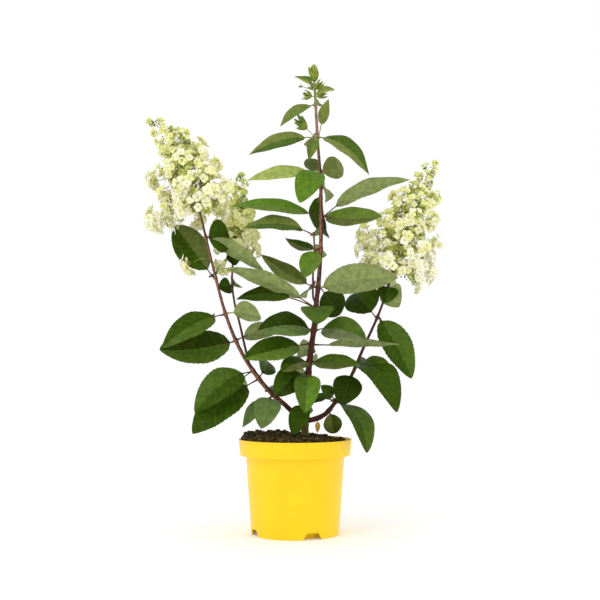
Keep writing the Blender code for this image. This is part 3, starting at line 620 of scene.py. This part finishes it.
def smooth_path(points, steps):
    """Catmull-Rom through the points, which are in millimetres, in metres."""
    knots = [Vector(p) * MM for p in points]
    knots = [knots[0] * 2 - knots[1], *knots, knots[-1] * 2 - knots[-2]]
    path = []
    for k in range(1, len(knots) - 2):
        a, b, c, d = knots[k - 1:k + 3]
        for step in range(steps):
            t = step / steps
            path.append(0.5 * ((2 * b) + (c - a) * t + (2 * a - 5 * b + 4 * c - d) * t * t
                               + (3 * b - a - 3 * c + d) * t ** 3))
    path.append(knots[-2])
    return path


def even_path(path, gap):
    """The same path with points at an even gap."""
    made = [path[0]]
    for before, after in zip(path, path[1:]):
        count = max(1, round((after - before).length / gap))
        made.extend(before.lerp(after, (k + 1) / count) for k in range(count))
    return made


def path_shares(path):
    run = [0.0]
    for before, after in zip(path, path[1:]):
        run.append(run[-1] + (after - before).length)
    return [r / run[-1] for r in run], run[-1]


def path_point(path, t):
    """The place and direction at a share t of a path with even steps."""
    step = min(max(t, 0) * (len(path) - 1), len(path) - 1.001)
    k = int(step)
    return path[k].lerp(path[k + 1], step - k), (path[k + 1] - path[k]).normalized()


def add_tube(form, path, sizes, sides, skin, relief=None):
    """A closed tube with a radius for each point of its path.

    skin is a material's name, or a function that picks one from a place and its outward side.
    relief is a function of place and angle that scales the radius."""
    points = []
    skins = []
    across = (path[1] - path[0]).orthogonal().normalized()
    for k, (place, radius) in enumerate(zip(path, sizes)):
        ahead = path[min(k + 1, len(path) - 1)] - path[max(k - 1, 0)]
        ahead.normalize()
        across = (across - ahead * across.dot(ahead)).normalized()
        beside = ahead.cross(across)
        for side in range(sides):
            angle = math.tau * side / sides
            outward = across * math.cos(angle) + beside * math.sin(angle)
            size = radius * relief(place + outward * radius, angle) if relief else radius
            points.append(place + outward * size)
            if k < len(path) - 1:
                skins.append(skin(place, outward) if callable(skin) else skin)
    form.add(points, tube_faces(len(path), sides), skins + [skins[0], skins[-1]])


def add_twig(form, start, end, radius, skin, sag=0.0, sides=4):
    """A thin twig that tapers to its end and may bow upward."""
    path = []
    for k in range(4):
        t = k / 3
        path.append(start.lerp(end, t) + UP * sag * 4 * t * (1 - t))
    sizes = [radius * share for share in (1, 0.85, 0.75, 0.7)]
    add_tube(form, path, sizes, sides, skin)


def stem_path(name):
    return smooth_path(STEMS[name].points, 2)


def stem_radius(name, share, run):
    stem = STEMS[name]
    taper = stem.tip_radius + (stem.foot_radius - stem.tip_radius) * (1 - share) ** TAPER_POWER
    flare = 1 + FLARE * math.exp(-run / FLARE_REACH) if name == MAIN_STEM else 1
    return taper * flare * MM


def stem_at_height(name, height):
    """The stem's centre, direction and radius at a height in metres."""
    path = stem_path(name)
    shares, whole = path_shares(path)
    for k, (low, high) in enumerate(zip(path, path[1:])):
        if low.z <= height <= high.z:
            part = (height - low.z) / (high.z - low.z)
            share = shares[k] + (shares[k + 1] - shares[k]) * part
            radius = stem_radius(name, share, share * whole)
            return low.lerp(high, part), (high - low).normalized(), radius
    raise ValueError("%s does not reach %.3f" % (name, height))


def stem_skin(name, chance):
    """Bark by height, with painted light and painted shade: bark_lit on the side turned to the key
    light, bark_shade on the side turned from it, and ragged borders between.
    """
    lit_from = LIT_BARK_FROM_LEFT if name == "stem_left" else LIT_BARK_FROM

    def pick(place, outward):
        height = place.z / MM + chance.uniform(-BARK_RAGGED, BARK_RAGGED)
        if name == MAIN_STEM and height > SHOOT_FROM:
            return "shoot"
        # The young bark stops on the stem's right side, which falls through to the plain bark and its
        # painted shade.
        if name == MAIN_STEM and height > YOUNG_BARK_FROM and outward.x < 0.4:
            return "bark_young"
        if name == MAIN_STEM and height < FOOT_BARK_TO:
            return "bark_foot"
        # turned says how far a face looks towards the key light, up and to the left; it picks painted
        # light or painted shade.
        turned = -0.8 * outward.x - 0.4 * outward.y + chance.uniform(-0.25, 0.25)
        if turned > 0.45 and height > lit_from:
            return "bark_lit"
        return "bark" if turned > -0.35 else "bark_shade"
    return pick


def bark_relief(place, angle):
    """Long low ridges and corky spots, as a share of the radius."""
    turned = Vector((math.cos(angle) * 2, math.sin(angle) * 2, place.z * RIDGE_RATE))
    spot = max(0, noise.noise(place * SPOT_RATE) - SPOT_START)
    return 1 + BARK_RELIEF * noise.noise(turned) + SPOT_RELIEF * spot


def make_stem(name):
    """The stem in its bark, swollen at the nodes."""
    path = even_path(smooth_path(STEMS[name].points, 12), STEM_STEP)
    if name == MAIN_STEM:
        path[0] = path[0] - UP * STEM_SINK
    shares, whole = path_shares(path)
    nodes = [whorl.height * MM for whorl in WHORLS.values() if whorl.stem == name]
    sizes = []
    for place, share in zip(path, shares):
        swell = sum(math.exp(-((place.z - node) / NODE_REACH) ** 2) for node in nodes)
        radius = stem_radius(name, share, share * whole)
        sizes.append(radius * BARK_SHARE + min(swell, 1) * NODE_SWELL)
    form = Form()
    skin = stem_skin(name, random.Random(len(name)))
    add_tube(form, path, sizes, STEM_SIDES, skin, bark_relief)
    form.piece("bark_" + name[5:], "bark", name)


def leaf_line(leaf, node, along, ring):
    """Start, tip and upward face of a leaf whose stalk grows from a ring round the node."""
    depth = math.sqrt(max(leaf.length ** 2 - leaf.across ** 2 - leaf.up ** 2, 0))
    tip = node + Vector((leaf.across, leaf.depth * depth, leaf.up)) * MM
    outward = tip - node
    outward -= along * outward.dot(along)
    start = node + outward.normalized() * ring
    chord = (tip - start).normalized()
    lean = math.radians(leaf.lean)
    turn = math.radians(leaf.turn)
    hint = Vector((math.sin(lean) * math.sin(turn), -math.sin(lean) * math.cos(turn), math.cos(lean)))
    face = (hint - chord * hint.dot(chord)).normalized()
    return start, tip, face


def leaf_point(leaf, line, t):
    """A point on the leaf's arched midrib, from its stalk's foot at 0 to its tip at 1."""
    start, tip, face = line
    return start.lerp(tip, t) + face * (leaf.arch * MM * 4 * t * (1 - t))


def blade_width(t, leaf):
    """The blade's width at t along it as a share of its widest: round base, pointed tip.

    A broad leaf keeps its width longer than a slender one."""
    if t < BLADE_WIDEST:
        return math.sin(math.pi / 2 * t / BLADE_WIDEST) ** BLADE_BASE
    broad = min(1, max(0, (leaf.width / leaf.length - SLENDER) / (BROAD - SLENDER)))
    taper = SLENDER_TAPER + (BLADE_TAPER - SLENDER_TAPER) * broad
    return max(0, math.cos(math.pi / 2 * (t - BLADE_WIDEST) / (1 - BLADE_WIDEST))) ** taper


def blade_rows():
    """Where each row starts on the midrib, how far the blade puffs up there, and if a vein follows."""
    rows = [(0.0, 0, False), (0.03, 0.3, False)]
    feet = [VEIN_START + VEIN_REACH * k / VEINS for k in range(VEINS + 1)]
    for foot, after in zip(feet, feet[1:]):
        gap = after - foot
        rows.append((foot, 0, True))
        rows.append((foot + VEIN_WIDTH, 0, False))
        rows.append((foot + 0.42 * gap, 1, False))
        rows.append((foot + 0.74 * gap, 0.85, False))
    rows += [(feet[-1], 0, False), (0.95, 0.1, False), (1.0, 0, False)]
    return rows


BLADE_ROWS = blade_rows()
BLADE_TOP, BLADE_UNDER, BLADE_RIM = sheet_faces(len(BLADE_ROWS), len(COLUMNS))


def blade_points(leaf, line, side, chance):
    """The blade's upper points, then its lower ones: folded, puffed, toothed and rippled."""
    face = line[2]
    fold = math.radians(BLADE_FOLD + chance.uniform(-3, 5))
    phases = {-1: chance.uniform(0, math.tau), 1: chance.uniform(0, math.tau)}
    wave = chance.uniform(0.6, 1.5) * RIPPLE * leaf.length * MM
    upper = []
    lower = []
    for number, (foot, puff, _) in enumerate(BLADE_ROWS):
        for column in COLUMNS:
            sign = -1 if column < 0 else 1
            edge = abs(column)
            a = foot + VEIN_SWEEP * math.sin(math.pi * foot) ** 0.8 * edge ** 1.3
            half = max(leaf.width / 2 * blade_width(a, leaf), BLADE_LEAST) * MM
            if edge < 0.1:
                edge = min(MIDRIB_HALF * (1 - 0.7 * a) / half, 0.4)
            elif edge == 1:
                edge = 1 + TEETH * (1 if number % 2 else -1)
            middle = leaf_point(leaf, line, leaf.stalk + (1 - leaf.stalk) * a)
            lift = edge * half * math.sin(fold) * (1.25 - 0.5 * edge * edge)
            lift += wave * edge ** 3 * math.sin(math.tau * RIPPLE_WAVES * a + phases[sign])
            lift += VEIN_DEPTH * puff * (1 - edge ** 4) * min(1, leaf.width / VEIN_FULL_AT)
            place = middle + side * (sign * edge * half * math.cos(fold)) + face * lift
            if leaf.near == "dead":
                place += face * CRUMPLE * leaf.length * MM * noise.noise(place * CRUMPLE_RATE)
            ridge = MIDRIB_RIDGE * (1 - a) if edge < 0.2 else 0
            upper.append(place)
            lower.append(place - face * (BLADE_THICKNESS + ridge))
    return upper + lower


def add_blade(form, leaf, line, chance):
    """A thin closed blade with pinnate veins, its halves in the leaf's near and far tones: painted
    light and painted shade on the two sides of its fold.
    """
    start, tip, face = line
    side = (tip - start).normalized().cross(face)
    under = leaf.near if leaf.near in ("dead", "young") else "under"
    top_skins = []
    under_skins = []
    for quad in range(len(BLADE_TOP)):
        row, column = divmod(quad, len(COLUMNS) - 1)
        # The near and far halves take their own tones: painted light and painted shade across the
        # fold.
        near = (side.y < 0) == (column > MIDDLE_CELL)
        vein = BLADE_ROWS[row][2] and 0 < column < len(COLUMNS) - 2
        ending = "_vein" if vein or column == MIDDLE_CELL else ""
        top_skins.append((leaf.near if near else leaf.far) + ending)
        under_skins.append(under + ending)
    skins = top_skins + under_skins + [leaf.far] * len(BLADE_RIM)
    form.add(blade_points(leaf, line, side, chance), BLADE_TOP + BLADE_UNDER + BLADE_RIM, skins)


def add_stalk(form, leaf, line, node):
    """The leaf's stalk, from inside the stem into the foot of the blade."""
    sunk = leaf.stalk + STALK_SINK * (1 - leaf.stalk)
    path = [node] + [leaf_point(leaf, line, sunk * k / 6) for k in range(7)]
    thin = min(1, leaf.width / STALK_FULL_AT) * STALK_RADIUS
    dark = node.z < GREEN_STALK_FROM and leaf.near not in ("pale", "lime")
    add_tube(form, path, [size * thin for size in STALK_SIZES], 8, "stalk" if dark else "stalk_green")


def add_bud(form, centre, radius, length, along, skins):
    """A pointed bud of overlapping scales: ridged, and toned scale by scale."""
    turn = along.to_track_quat("Z", "Y").to_matrix()
    points = []
    tones = []
    for row in range(BUD_ROWS):
        t = row / (BUD_ROWS - 1)
        size = radius * math.sin(math.pi * min(0.98, 0.06 + 0.9 * t ** 0.8)) ** 0.7
        for k in range(BUD_SIDES):
            part = k / BUD_SIDES + 0.5 * t / math.tau
            ridged = size * (1 + BUD_RIDGE * math.cos(5 * math.tau * part))
            points.append(centre + turn @ ring_point(ridged, part, (t - 0.5) * length))
            if row < BUD_ROWS - 1:
                tones.append(skins[(k // 2 + row // 3) % len(skins)])
    form.add(points, tube_faces(BUD_ROWS, BUD_SIDES), tones + [skins[0], skins[-1]])


def add_bud_fan(blades, stalks, leaf, line, node):
    """A stalked fan of narrow young buds, where a shoot starts in a leaf's axil."""
    start, tip, face = line
    fork = leaf_point(leaf, line, leaf.stalk)
    add_tube(stalks, [node, start, fork], [0.9 * MM, 0.8 * MM, 0.6 * MM], 6, "stalk_green")
    chord = (tip - fork).normalized()
    side = chord.cross(face)
    for k, (angle, share) in enumerate(BUD_FAN):
        turn = math.radians(angle)
        way = (chord * math.cos(turn) + side * math.sin(turn) + face * 0.15 * (k % 2)).normalized()
        size = (tip - fork).length * share
        tones = ["young", "olive", "fresh"]
        add_bud(blades, fork + way * size / 2, BUD_FAN_RADIUS, size, way, tones)


def make_foliage():
    """One piece of blades for each whorl, and one of all the leaf stalks."""
    stalks = Form()
    for number, (name, whorl) in enumerate(WHORLS.items()):
        chance = random.Random(number)
        node, along, stem_size = stem_at_height(whorl.stem, whorl.height * MM)
        ring = (stem_size + COLLAR_CLEAR) / math.cos(math.pi / COLLAR_SIDES) + COLLAR_RADIUS / 2
        blades = Form()
        for leaf in whorl.leaves:
            line = leaf_line(leaf, node, along, ring)
            if leaf.near == "buds":
                add_bud_fan(blades, stalks, leaf, line, node)
                continue
            add_stalk(stalks, leaf, line, node)
            add_blade(blades, leaf, line, chance)
        slot = "dead_leaf" if name == "leaf_withered" else "leaf"
        blades.piece(name.replace("leaves", "blades").replace("leaf_", "blade_"), slot, name)
    stalks.piece("leaf_stalks", "bark")


def sepal_shape():
    """A rounded, slightly cupped sepal of unit length, as rows from its claw to its tip."""
    points = []
    for row in range(SEPAL_ROWS + 1):
        t = row / SEPAL_ROWS
        half = SEPAL_HALF * math.sin(math.pi * min(0.97, 0.1 + 0.86 * t)) ** 0.6
        for column in range(SEPAL_COLUMNS + 1):
            s = 2 * column / SEPAL_COLUMNS - 1
            along = 0.1 + 0.9 * t * (1 - 0.12 * s * s * t)
            points.append(Vector((s * half, along, 0.1 * t * t + 0.14 * s * s * half)))
    return points


SEPAL = sepal_shape()
SEPAL_FACES = sum(sheet_faces(SEPAL_ROWS + 1, SEPAL_COLUMNS + 1), [])


def add_floret(form, centre, facing, size, spin, cup, skins, chance):
    """A sterile flower: four thin closed sepals round a small green eye."""
    turn = facing.to_track_quat("Z", "Y").to_matrix() @ Matrix.Rotation(spin, 3, "Z")
    for k in range(4):
        petal = Matrix.Rotation(math.pi / 2 * k + chance.uniform(-0.12, 0.12), 3, "Z")
        tilt = Matrix.Rotation(cup + chance.uniform(-0.15, 0.2) + 0.07 * (k % 2), 3, "X")
        grow = size * chance.uniform(0.88, 1.1)
        wide = chance.uniform(0.85, 1.12)
        bent = turn @ petal @ tilt
        upper = [centre + bent @ Vector((p.x * wide, p.y, p.z)) * grow for p in SEPAL]
        down = bent @ Vector((0, 0, -SEPAL_THICKNESS))
        form.add(upper + [p + down for p in upper], SEPAL_FACES, chance.choice(skins))
    add_ball(form, centre + facing * EYE_RISE, EYE_RADIUS, "eye")


def ball_shape():
    shape = bmesh.new()
    bmesh.ops.create_icosphere(shape, subdivisions=1, radius=1)
    points = [vert.co.copy() for vert in shape.verts]
    faces = [tuple(vert.index for vert in face.verts) for face in shape.faces]
    shape.free()
    return points, faces


BALL_POINTS, BALL_FACES = ball_shape()


def add_ball(form, centre, radius, skin):
    form.add([centre + p * radius for p in BALL_POINTS], BALL_FACES, skin)


def panicle_reach(t):
    """The florets' distance from the axis as a share of the greatest, foot 0 to tip 1."""
    swell = min(1, 0.8 + 2 * t)
    return swell * (1 - t) ** 0.72 + 0.06


def panicle_path(panicle):
    """The axis, from just clear of the stem's top."""
    foot = stem_path(panicle.stem)[-1] / MM
    second = stem_path(panicle.stem)[-2] / MM
    start = foot + (foot - second).normalized() * 0.35
    return smooth_path([tuple(start), *panicle.points], 3)


def floret_skins(t, place, chance):
    """Greenish at the head's tip and towards the shrub, cream to white at its foot and outside."""
    ripe = 1.1 - t + 2.4 * (abs(place.x) - 0.19) + chance.uniform(-0.22, 0.22)
    return next(tones for limit, tones in SEPAL_STAGES if ripe < limit)


def random_way(chance):
    return Vector((chance.gauss(0, 1), chance.gauss(0, 1), chance.gauss(0, 1))).normalized()


def add_cluster(forms, hub, outward, spread, count, t, chance, inner=False):
    """Florets and small buds on stalks that fan out from a hub at a branch's end.

    Those inside the head get moss-green sepals and dark buds: painted shade for the head's depth."""
    flowers, twigs, buds = forms
    for _ in range(count):
        jitter = random_way(chance)
        way = (outward + jitter * 0.95).normalized()
        place = hub + way * spread * chance.uniform(0.5, 1.0)
        facing = (way * 0.8 + outward * 0.6 + jitter * 0.35 + Vector((0, -0.12, 0.1))).normalized()
        size = FLORET_SIZE * (1 - 0.45 * t) * chance.uniform(0.82, 1.12)
        cup = 0.12 + 0.8 * max(0, t - 0.45) + chance.uniform(0, 0.3)
        skins = SHADED_INNER_SEPALS if inner else floret_skins(t, place, chance)
        add_floret(flowers, place, facing, size, chance.uniform(0, math.pi), cup, skins, chance)
        end = place - facing * 0.2 * MM
        add_twig(twigs, hub, end, PEDICEL_RADIUS, "pedicel", 1.5 * MM, 3)
    for _ in range(BUDS_PER_CLUSTER):
        way = (outward * 0.55 + random_way(chance)).normalized()
        place = hub + way * spread * chance.uniform(0.25, 0.8)
        # Buds inside the head are all dark: painted shade.
        skin = "bud_dark" if inner else chance.choice(OUTER_BUDS)
        add_ball(buds, place, BUD_RADIUS * chance.uniform(0.7, 1.2), skin)
        add_twig(twigs, hub, place, BUD_STALK_RADIUS, "pedicel", 0, 3)


def finish_flowers(forms, name, *nodes):
    flowers, twigs, buds = forms
    flowers.piece("florets_" + name, "blossom", *nodes)
    twigs.piece("flower_twigs_" + name, "bark")
    buds.piece("flower_buds_" + name, "bud")


def add_axis(form, path, foot_size):
    """The head's axis: woody for its first quarter, then green, and thin by two thirds."""
    axis = even_path(path, 5 * MM)
    last = len(axis) - 1
    sizes = [foot_size * (1 - 0.8 * min(1, 1.5 * k / last)) for k in range(len(axis))]
    quarter = len(axis) // 4
    add_tube(form, axis[:quarter + 1], sizes[:quarter + 1], 8, "stalk")
    add_tube(form, axis[quarter:], sizes[quarter:], 8, "stalk_green")


def make_panicle(name):
    """A head of flowers: side branches by the golden angle, each ending in a cluster.

    The branches are long, shorter and short in turn, so that the head is full inside."""
    panicle = PANICLES[name]
    path = panicle_path(panicle)
    chance = random.Random(panicle.seed)
    forms = (Form(), Form(), Form())
    add_axis(forms[1], path, STEMS[panicle.stem].tip_radius * MM)
    for k in range(panicle.branches):
        share = (k + 0.5) / panicle.branches
        t = 1 - (1 - share) ** 0.62
        place, along = path_point(path, t)
        outward = Matrix.Rotation(k * GOLDEN_ANGLE, 3, along) @ along.orthogonal().normalized()
        whole = panicle.reach * panicle_reach(t) * MM
        reach = whole * chance.uniform(0.9, 1.02) * BRANCH_REACH[k % 3]
        rise = along * reach * chance.uniform(-0.15, 0.2) - UP * reach * FLORET_DROOP * (1 - t) ** 4
        start, _ = path_point(path, max(t - 0.06, TWIG_FOOT))
        spread = 5 * MM + 0.2 * whole
        hub = place + (outward * reach + rise) * max(0.1, 1 - 0.85 * spread / reach)
        facing = (outward + along * 0.35 + UP * 0.15).normalized()
        add_twig(forms[1], start, hub, (0.4 + 0.5 * (1 - t)) * MM, "stalk_green", 0.05 * reach, 5)
        count = max(3, round(FLORETS_PER_CLUSTER * (1 - t) ** 0.3))
        inner = k % 3 == 2
        unripe = min(1, t + INNER_GREEN) if inner else t
        add_cluster(forms, hub, facing, spread, count, unripe, chance, inner)
    top, along = path_point(path, 1)
    add_cluster(forms, top - along * 3 * MM, along, 5 * MM, 4, 0.97, chance)
    finish_flowers(forms, name[8:], name)


def make_sprays():
    """The florets that hang beside and below the heads, on twigs of their own."""
    forms = (Form(), Form(), Form())
    chance = random.Random(41)
    for middle, root, spread, count, t in SPRAYS:
        hub = Vector(middle) * MM
        foot = Vector(root) * MM
        outward = (hub - foot).normalized()
        hub -= outward * 0.4 * spread * MM
        add_twig(forms[1], foot, hub, 0.7 * MM, "stalk_green", 4 * MM, 5)
        add_cluster(forms, hub, outward, spread * MM, count, t, chance)
    finish_flowers(forms, "hanging")


def add_bracts(form, centre, way, radius, length, count, chance):
    """Small pointed leaves that stand round a bud."""
    foot = centre - way * BRACT_REACH * length * MM
    spread = BIG_BRACT_SPREAD if radius > BIG_BUD else BRACT_SPREAD
    for k in range(count):
        lean = Matrix.Rotation(k * GOLDEN_ANGLE, 3, way) @ way.orthogonal().normalized()
        reach = chance.uniform(0.75, 1.1)
        tip = centre + (way * BRACT_REACH * length * reach + lean * radius * spread) * MM
        bract = Leaf(0, 0, length, FRONT, (1.8 - 0.5 * spread) * radius, -0.5 * radius, 0,
                     "young", "olive", stalk=0)
        chord = (tip - foot).normalized()
        face = -(lean - chord * lean.dot(chord)).normalized()
        add_blade(form, bract, (foot + lean * 0.3 * radius * MM, tip, face), chance)


def make_tip():
    """The shoot's tip: a fat leafy bud, side buds on short stalks and young bracts."""
    blades = Form()
    stalks = Form()
    chance = random.Random(17)
    path = stem_path(MAIN_STEM)
    top = path[-1]
    along = (path[-1] - path[-2]).normalized()
    end = top + along * TIP_LENGTH * MM
    size = STEMS[MAIN_STEM].tip_radius * MM
    sizes = [size, 0.85 * size, 0.5 * size]
    add_tube(stalks, [top - along * MM, top.lerp(end, 0.5), end], sizes, 10, "shoot")
    for across, back, up, radius, length, bracts in TIP_BUDS:
        centre = top + Vector((across, back, up)) * MM
        inner = top + along * max(up - 8, 2) * MM
        way = (centre - inner).normalized()
        heart = (BIG_HEART if radius > BIG_BUD else HEART) * radius
        add_bud(blades, centre, heart * MM, length * MM, way, ["young", "olive"])
        add_twig(stalks, inner, centre, 0.8 * MM, "stalk_green", 0, 6)
        add_bracts(blades, centre, way, radius, length, bracts, chance)
    for height, leaf in TIP_BRACTS:
        node = top + along * height * MM
        line = leaf_line(leaf, node, along, 0.8 * MM)
        add_stalk(stalks, leaf, line, node)
        add_blade(blades, leaf, line, chance)
    blades.piece("tip_buds_and_bracts", "bud", "bud_tip")
    stalks.piece("tip_stalks", "bark")


def rounded(profile, radius, steps=3):
    """The profile with each inner corner turned into a small arc."""
    made = [profile[0]]
    for before, corner, after in zip(profile, profile[1:], profile[2:]):
        a, b, c = (Vector(p) for p in (before, corner, after))
        back = min(radius, (a - b).length * 0.4)
        ahead = min(radius, (c - b).length * 0.4)
        first = b + (a - b).normalized() * back
        last = b + (c - b).normalized() * ahead
        for k in range(steps + 1):
            t = k / steps
            made.append(tuple(first * (1 - t) ** 2 + b * 2 * t * (1 - t) + last * t * t))
    made.append(profile[-1])
    return made


def pot_profile():
    slant = (BODY_RADIUS - FOOT_RADIUS) / BAND_FOOT
    floor = CHANNEL_HEIGHT + WALL
    return [
        (0, WALL),
        (PAD_RADIUS - 1.2 * WALL, WALL),
        (CHANNEL_RADIUS - 1.2 * WALL, floor),
        (FOOT_RADIUS - WALL + slant * floor, floor),
        (BODY_RADIUS - WALL, BAND_FOOT + WALL),
        (BAND_RADIUS - 1.4 * WALL, BAND_FOOT + WALL),
        (RIM_RADIUS - 1.8 * WALL, POT_HEIGHT - 2.4 * WALL),
        (RIM_RADIUS - 1.1 * WALL, POT_HEIGHT),
        (RIM_RADIUS - 0.4 * WALL, POT_HEIGHT),
        (RIM_RADIUS, POT_HEIGHT - 0.5 * WALL),
        (RIM_RADIUS - 0.3 * WALL, POT_HEIGHT - 1.6 * WALL),
        (BAND_RADIUS, BAND_FOOT),
        (BODY_RADIUS, BAND_FOOT),
        (FOOT_RADIUS, 0),
        (FOOT_RADIUS - 1.2 * WALL, 0),
        (FOOT_RADIUS - 1.2 * WALL + slant * CHANNEL_HEIGHT, CHANNEL_HEIGHT),
        (CHANNEL_RADIUS, CHANNEL_HEIGHT),
        (PAD_RADIUS, 0),
        (0, 0),
    ]


def turned_mesh(name, profile, steps):
    """A solid of revolution about Z, from a profile that starts and ends on the axis."""
    points = [ring_point(max(radius, 0.01 * MM), k / steps, height)
              for radius, height in profile for k in range(steps)]
    return solid_mesh(name, points, tube_faces(len(profile), steps))


def notch_cutter(number):
    """A wedge that cuts one drainage notch out of the foot, narrower at its top."""
    shape = bmesh.new()
    bmesh.ops.create_cube(shape, size=1)
    for vert in shape.verts:
        narrow = NOTCH_TOP_SHARE if vert.co.z > 0 else 1
        vert.co.x *= NOTCH_WIDTH * narrow
        vert.co.y = vert.co.y * NOTCH_DEPTH - FOOT_RADIUS
        vert.co.z = NOTCH_HEIGHT if vert.co.z > 0 else -MM
    edges = [e for e in shape.edges if abs(e.verts[0].co.x - e.verts[1].co.x) < NOTCH_WIDTH / 3
             and abs(e.verts[0].co.y - e.verts[1].co.y) > MM]
    bmesh.ops.bevel(shape, geom=edges, offset=NOTCH_CORNER, segments=3, affect="EDGES", profile=0.5)
    shape.transform(Matrix.Rotation(NOTCH_BEARING + number * math.tau / NOTCH_COUNT, 4, "Z"))
    mesh = bpy.data.meshes.new("notch_%d" % number)
    shape.to_mesh(mesh)
    shape.free()
    return new_object(mesh.name, mesh)


def make_pot():
    """The turned pot with its drainage notches cut out."""
    profile = rounded(pot_profile(), POT_CORNER)
    pot = new_object("pot_shell", turned_mesh("pot_shell", profile, POT_STEPS))
    cutters = [notch_cutter(number) for number in range(NOTCH_COUNT)]
    for cutter in cutters:
        cut = pot.modifiers.new(cutter.name, "BOOLEAN")
        cut.operation = "DIFFERENCE"
        cut.solver = "EXACT"
        cut.object = cutter
    bpy.context.view_layer.update()
    graph = bpy.context.evaluated_depsgraph_get()
    mesh = bpy.data.meshes.new_from_object(pot.evaluated_get(graph))
    pot.modifiers.clear()
    pot.data = mesh
    for cutter in cutters:
        bpy.data.objects.remove(cutter, do_unlink=True)
    mesh.shade_smooth()
    mesh.set_sharp_from_angle(angle=POT_CREASE)
    mesh.materials.clear()
    mesh.materials.append(MATERIALS["pot"])
    adopt(pot, "pot_plastic", "pot")


def soil_level(x, y):
    """Height of the compost: a slope from left to right, broad lumps and finer crumbs."""
    foot = Vector(STEMS[MAIN_STEM].points[0]) * MM
    apart = math.hypot(x - foot.x, y - foot.y)
    rough = min(1, max(0.15, (apart - SOIL_CALM_RADIUS) / SOIL_CALM_FADE))
    lump = noise.noise(Vector((x, y, 0)) / SOIL_LUMP_PITCH) * SOIL_LUMP
    crumb = noise.noise(Vector((x, y, 3)) * CRUMB_RATE) * CRUMB
    crumb += noise.noise(Vector((x, y, 7)) * FINE_CRUMB_RATE) * FINE_CRUMB
    edge = max(0, math.hypot(x, y) / SOIL_RADIUS - SOIL_EDGE_START) / (1 - SOIL_EDGE_START)
    low = min(1, max(0, (x - SOIL_DIP_START) / SOIL_DIP_START))
    level = SOIL_HEIGHT + rough * (lump + crumb - SOIL_SLOPE * (x - foot.x))
    return level - SOIL_EDGE * edge * edge - SOIL_DIP * low * low * (3 - 2 * low)


def soil_rings():
    """Each ring's radius, with its height inside the pot or none for those of the surface."""
    rings = [
        (FOOT_RADIUS - WALL - SKIRT_GAP, SKIRT_FOOT),
        (BODY_RADIUS - WALL - 1.2 * SKIRT_GAP, BAND_FOOT + 2 * WALL),
        (BAND_RADIUS - 1.4 * WALL - SKIRT_GAP, BAND_FOOT + 2 * WALL),
        (SOIL_RADIUS - SKIRT_GAP, SKIRT_TOP),
    ]
    rings += [(SOIL_RADIUS * (1 - k / SOIL_RINGS), None) for k in range(SOIL_RINGS)]
    return rings + [(0.4 * MM, None)]


def add_clod(form, chance):
    """A loose clod or shred of bark, anywhere on the compost."""
    radius = (SOIL_RADIUS - 4 * MM) * math.sqrt(chance.random())
    centre = ring_point(radius, chance.random(), 0)
    size = chance.uniform(CLOD_LEAST, CLOD_MOST)
    long, wide, tall = chance.uniform(0.7, 1.9), chance.uniform(0.7, 1.3), chance.uniform(0.5, 0.9)
    turn = Matrix.Rotation(chance.uniform(0, math.tau), 3, "Z")
    turn @= Matrix.Rotation(chance.gauss(0, 0.3), 3, "X")
    centre.z = soil_level(centre.x, centre.y) + 0.2 * size
    points = [centre + turn @ Vector((p.x * long, p.y * wide, p.z * tall)) * size
              * chance.uniform(0.8, 1.2) for p in BALL_POINTS]
    skin = chance.choices(list(CLOD_SHARES), CLOD_SHARES.values())[0]
    form.add(points, BALL_FACES, skin)


def make_soil():
    """Crumbly compost inside the rim, with loose clods on it."""
    form = Form()
    chance = random.Random(29)
    points = []
    skins = []
    rings = soil_rings()
    for radius, height in rings:
        for k in range(SOIL_STEPS):
            point = ring_point(radius, k / SOIL_STEPS, 0)
            point.z = soil_level(point.x, point.y) if height is None else height
            points.append(point)
    faces = tube_faces(len(rings), SOIL_STEPS)
    for face in faces:
        tone = noise.noise(points[face[0]] * SOIL_TONE_RATE) + chance.uniform(-0.2, 0.2)
        skins.append("soil_dark" if tone < 0.05 else "soil" if tone < 0.35 else "soil_brown")
    form.add(points, faces, skins)
    for _ in range(CLOD_COUNT):
        add_clod(form, chance)
    form.piece("compost", "earth", "soil")


def make_floor():
    bpy.ops.mesh.primitive_plane_add(size=FLOOR_WIDTH, location=(0, 0, 0))
    floor = bpy.context.object
    floor.name = "studio_floor"
    paper = new_material("floor_paper", PAPER, roughness=0.8, gloss=0.1, mottle=0.004, pitch=0.2,
                         grain=0.01, bump=0.02)
    add_glow(paper, (255, 255, 255), FLOOR_GLOW)
    floor.data.materials.append(paper)


def aim_at(made, place, aim):
    """Puts a lamp or a camera at a place and turns it to its aim."""
    made.location = place
    made.rotation_euler = (Vector(aim) - Vector(place)).to_track_quat("-Z", "Y").to_euler()


def make_studio():
    """A white room, a broad key light from the upper left and a weaker one from the right."""
    scene = bpy.context.scene
    world = bpy.data.worlds.new("studio")
    world.use_nodes = True
    background = world.node_tree.nodes["Background"].inputs
    background["Color"].default_value = (1, 1, 1, 1)
    background["Strength"].default_value = 1.0
    scene.world = world
    scene.view_settings.view_transform = "Standard"
    for name, place, size, power in LIGHTS:
        lamp = bpy.data.lights.new(name, "AREA")
        lamp.shape = "DISK"
        lamp.size = size
        lamp.energy = power
        aim_at(new_object(name, lamp), place, LIGHT_AIM)


def make_camera():
    """A camera with the photo's angle of view."""
    camera = new_object("camera", bpy.data.cameras.new("camera"))
    camera.data.lens = CAMERA_LENS
    camera.data.sensor_width = CAMERA_SENSOR
    aim_at(camera, CAMERA_PLACE, CAMERA_AIM)
    bpy.context.scene.camera = camera


def main():
    make_camera()
    make_studio()
    make_floor()
    make_pot()
    make_soil()
    for name in STEMS:
        make_stem(name)
    make_foliage()
    for name in PANICLES:
        make_panicle(name)
    make_sprays()
    make_tip()


main()
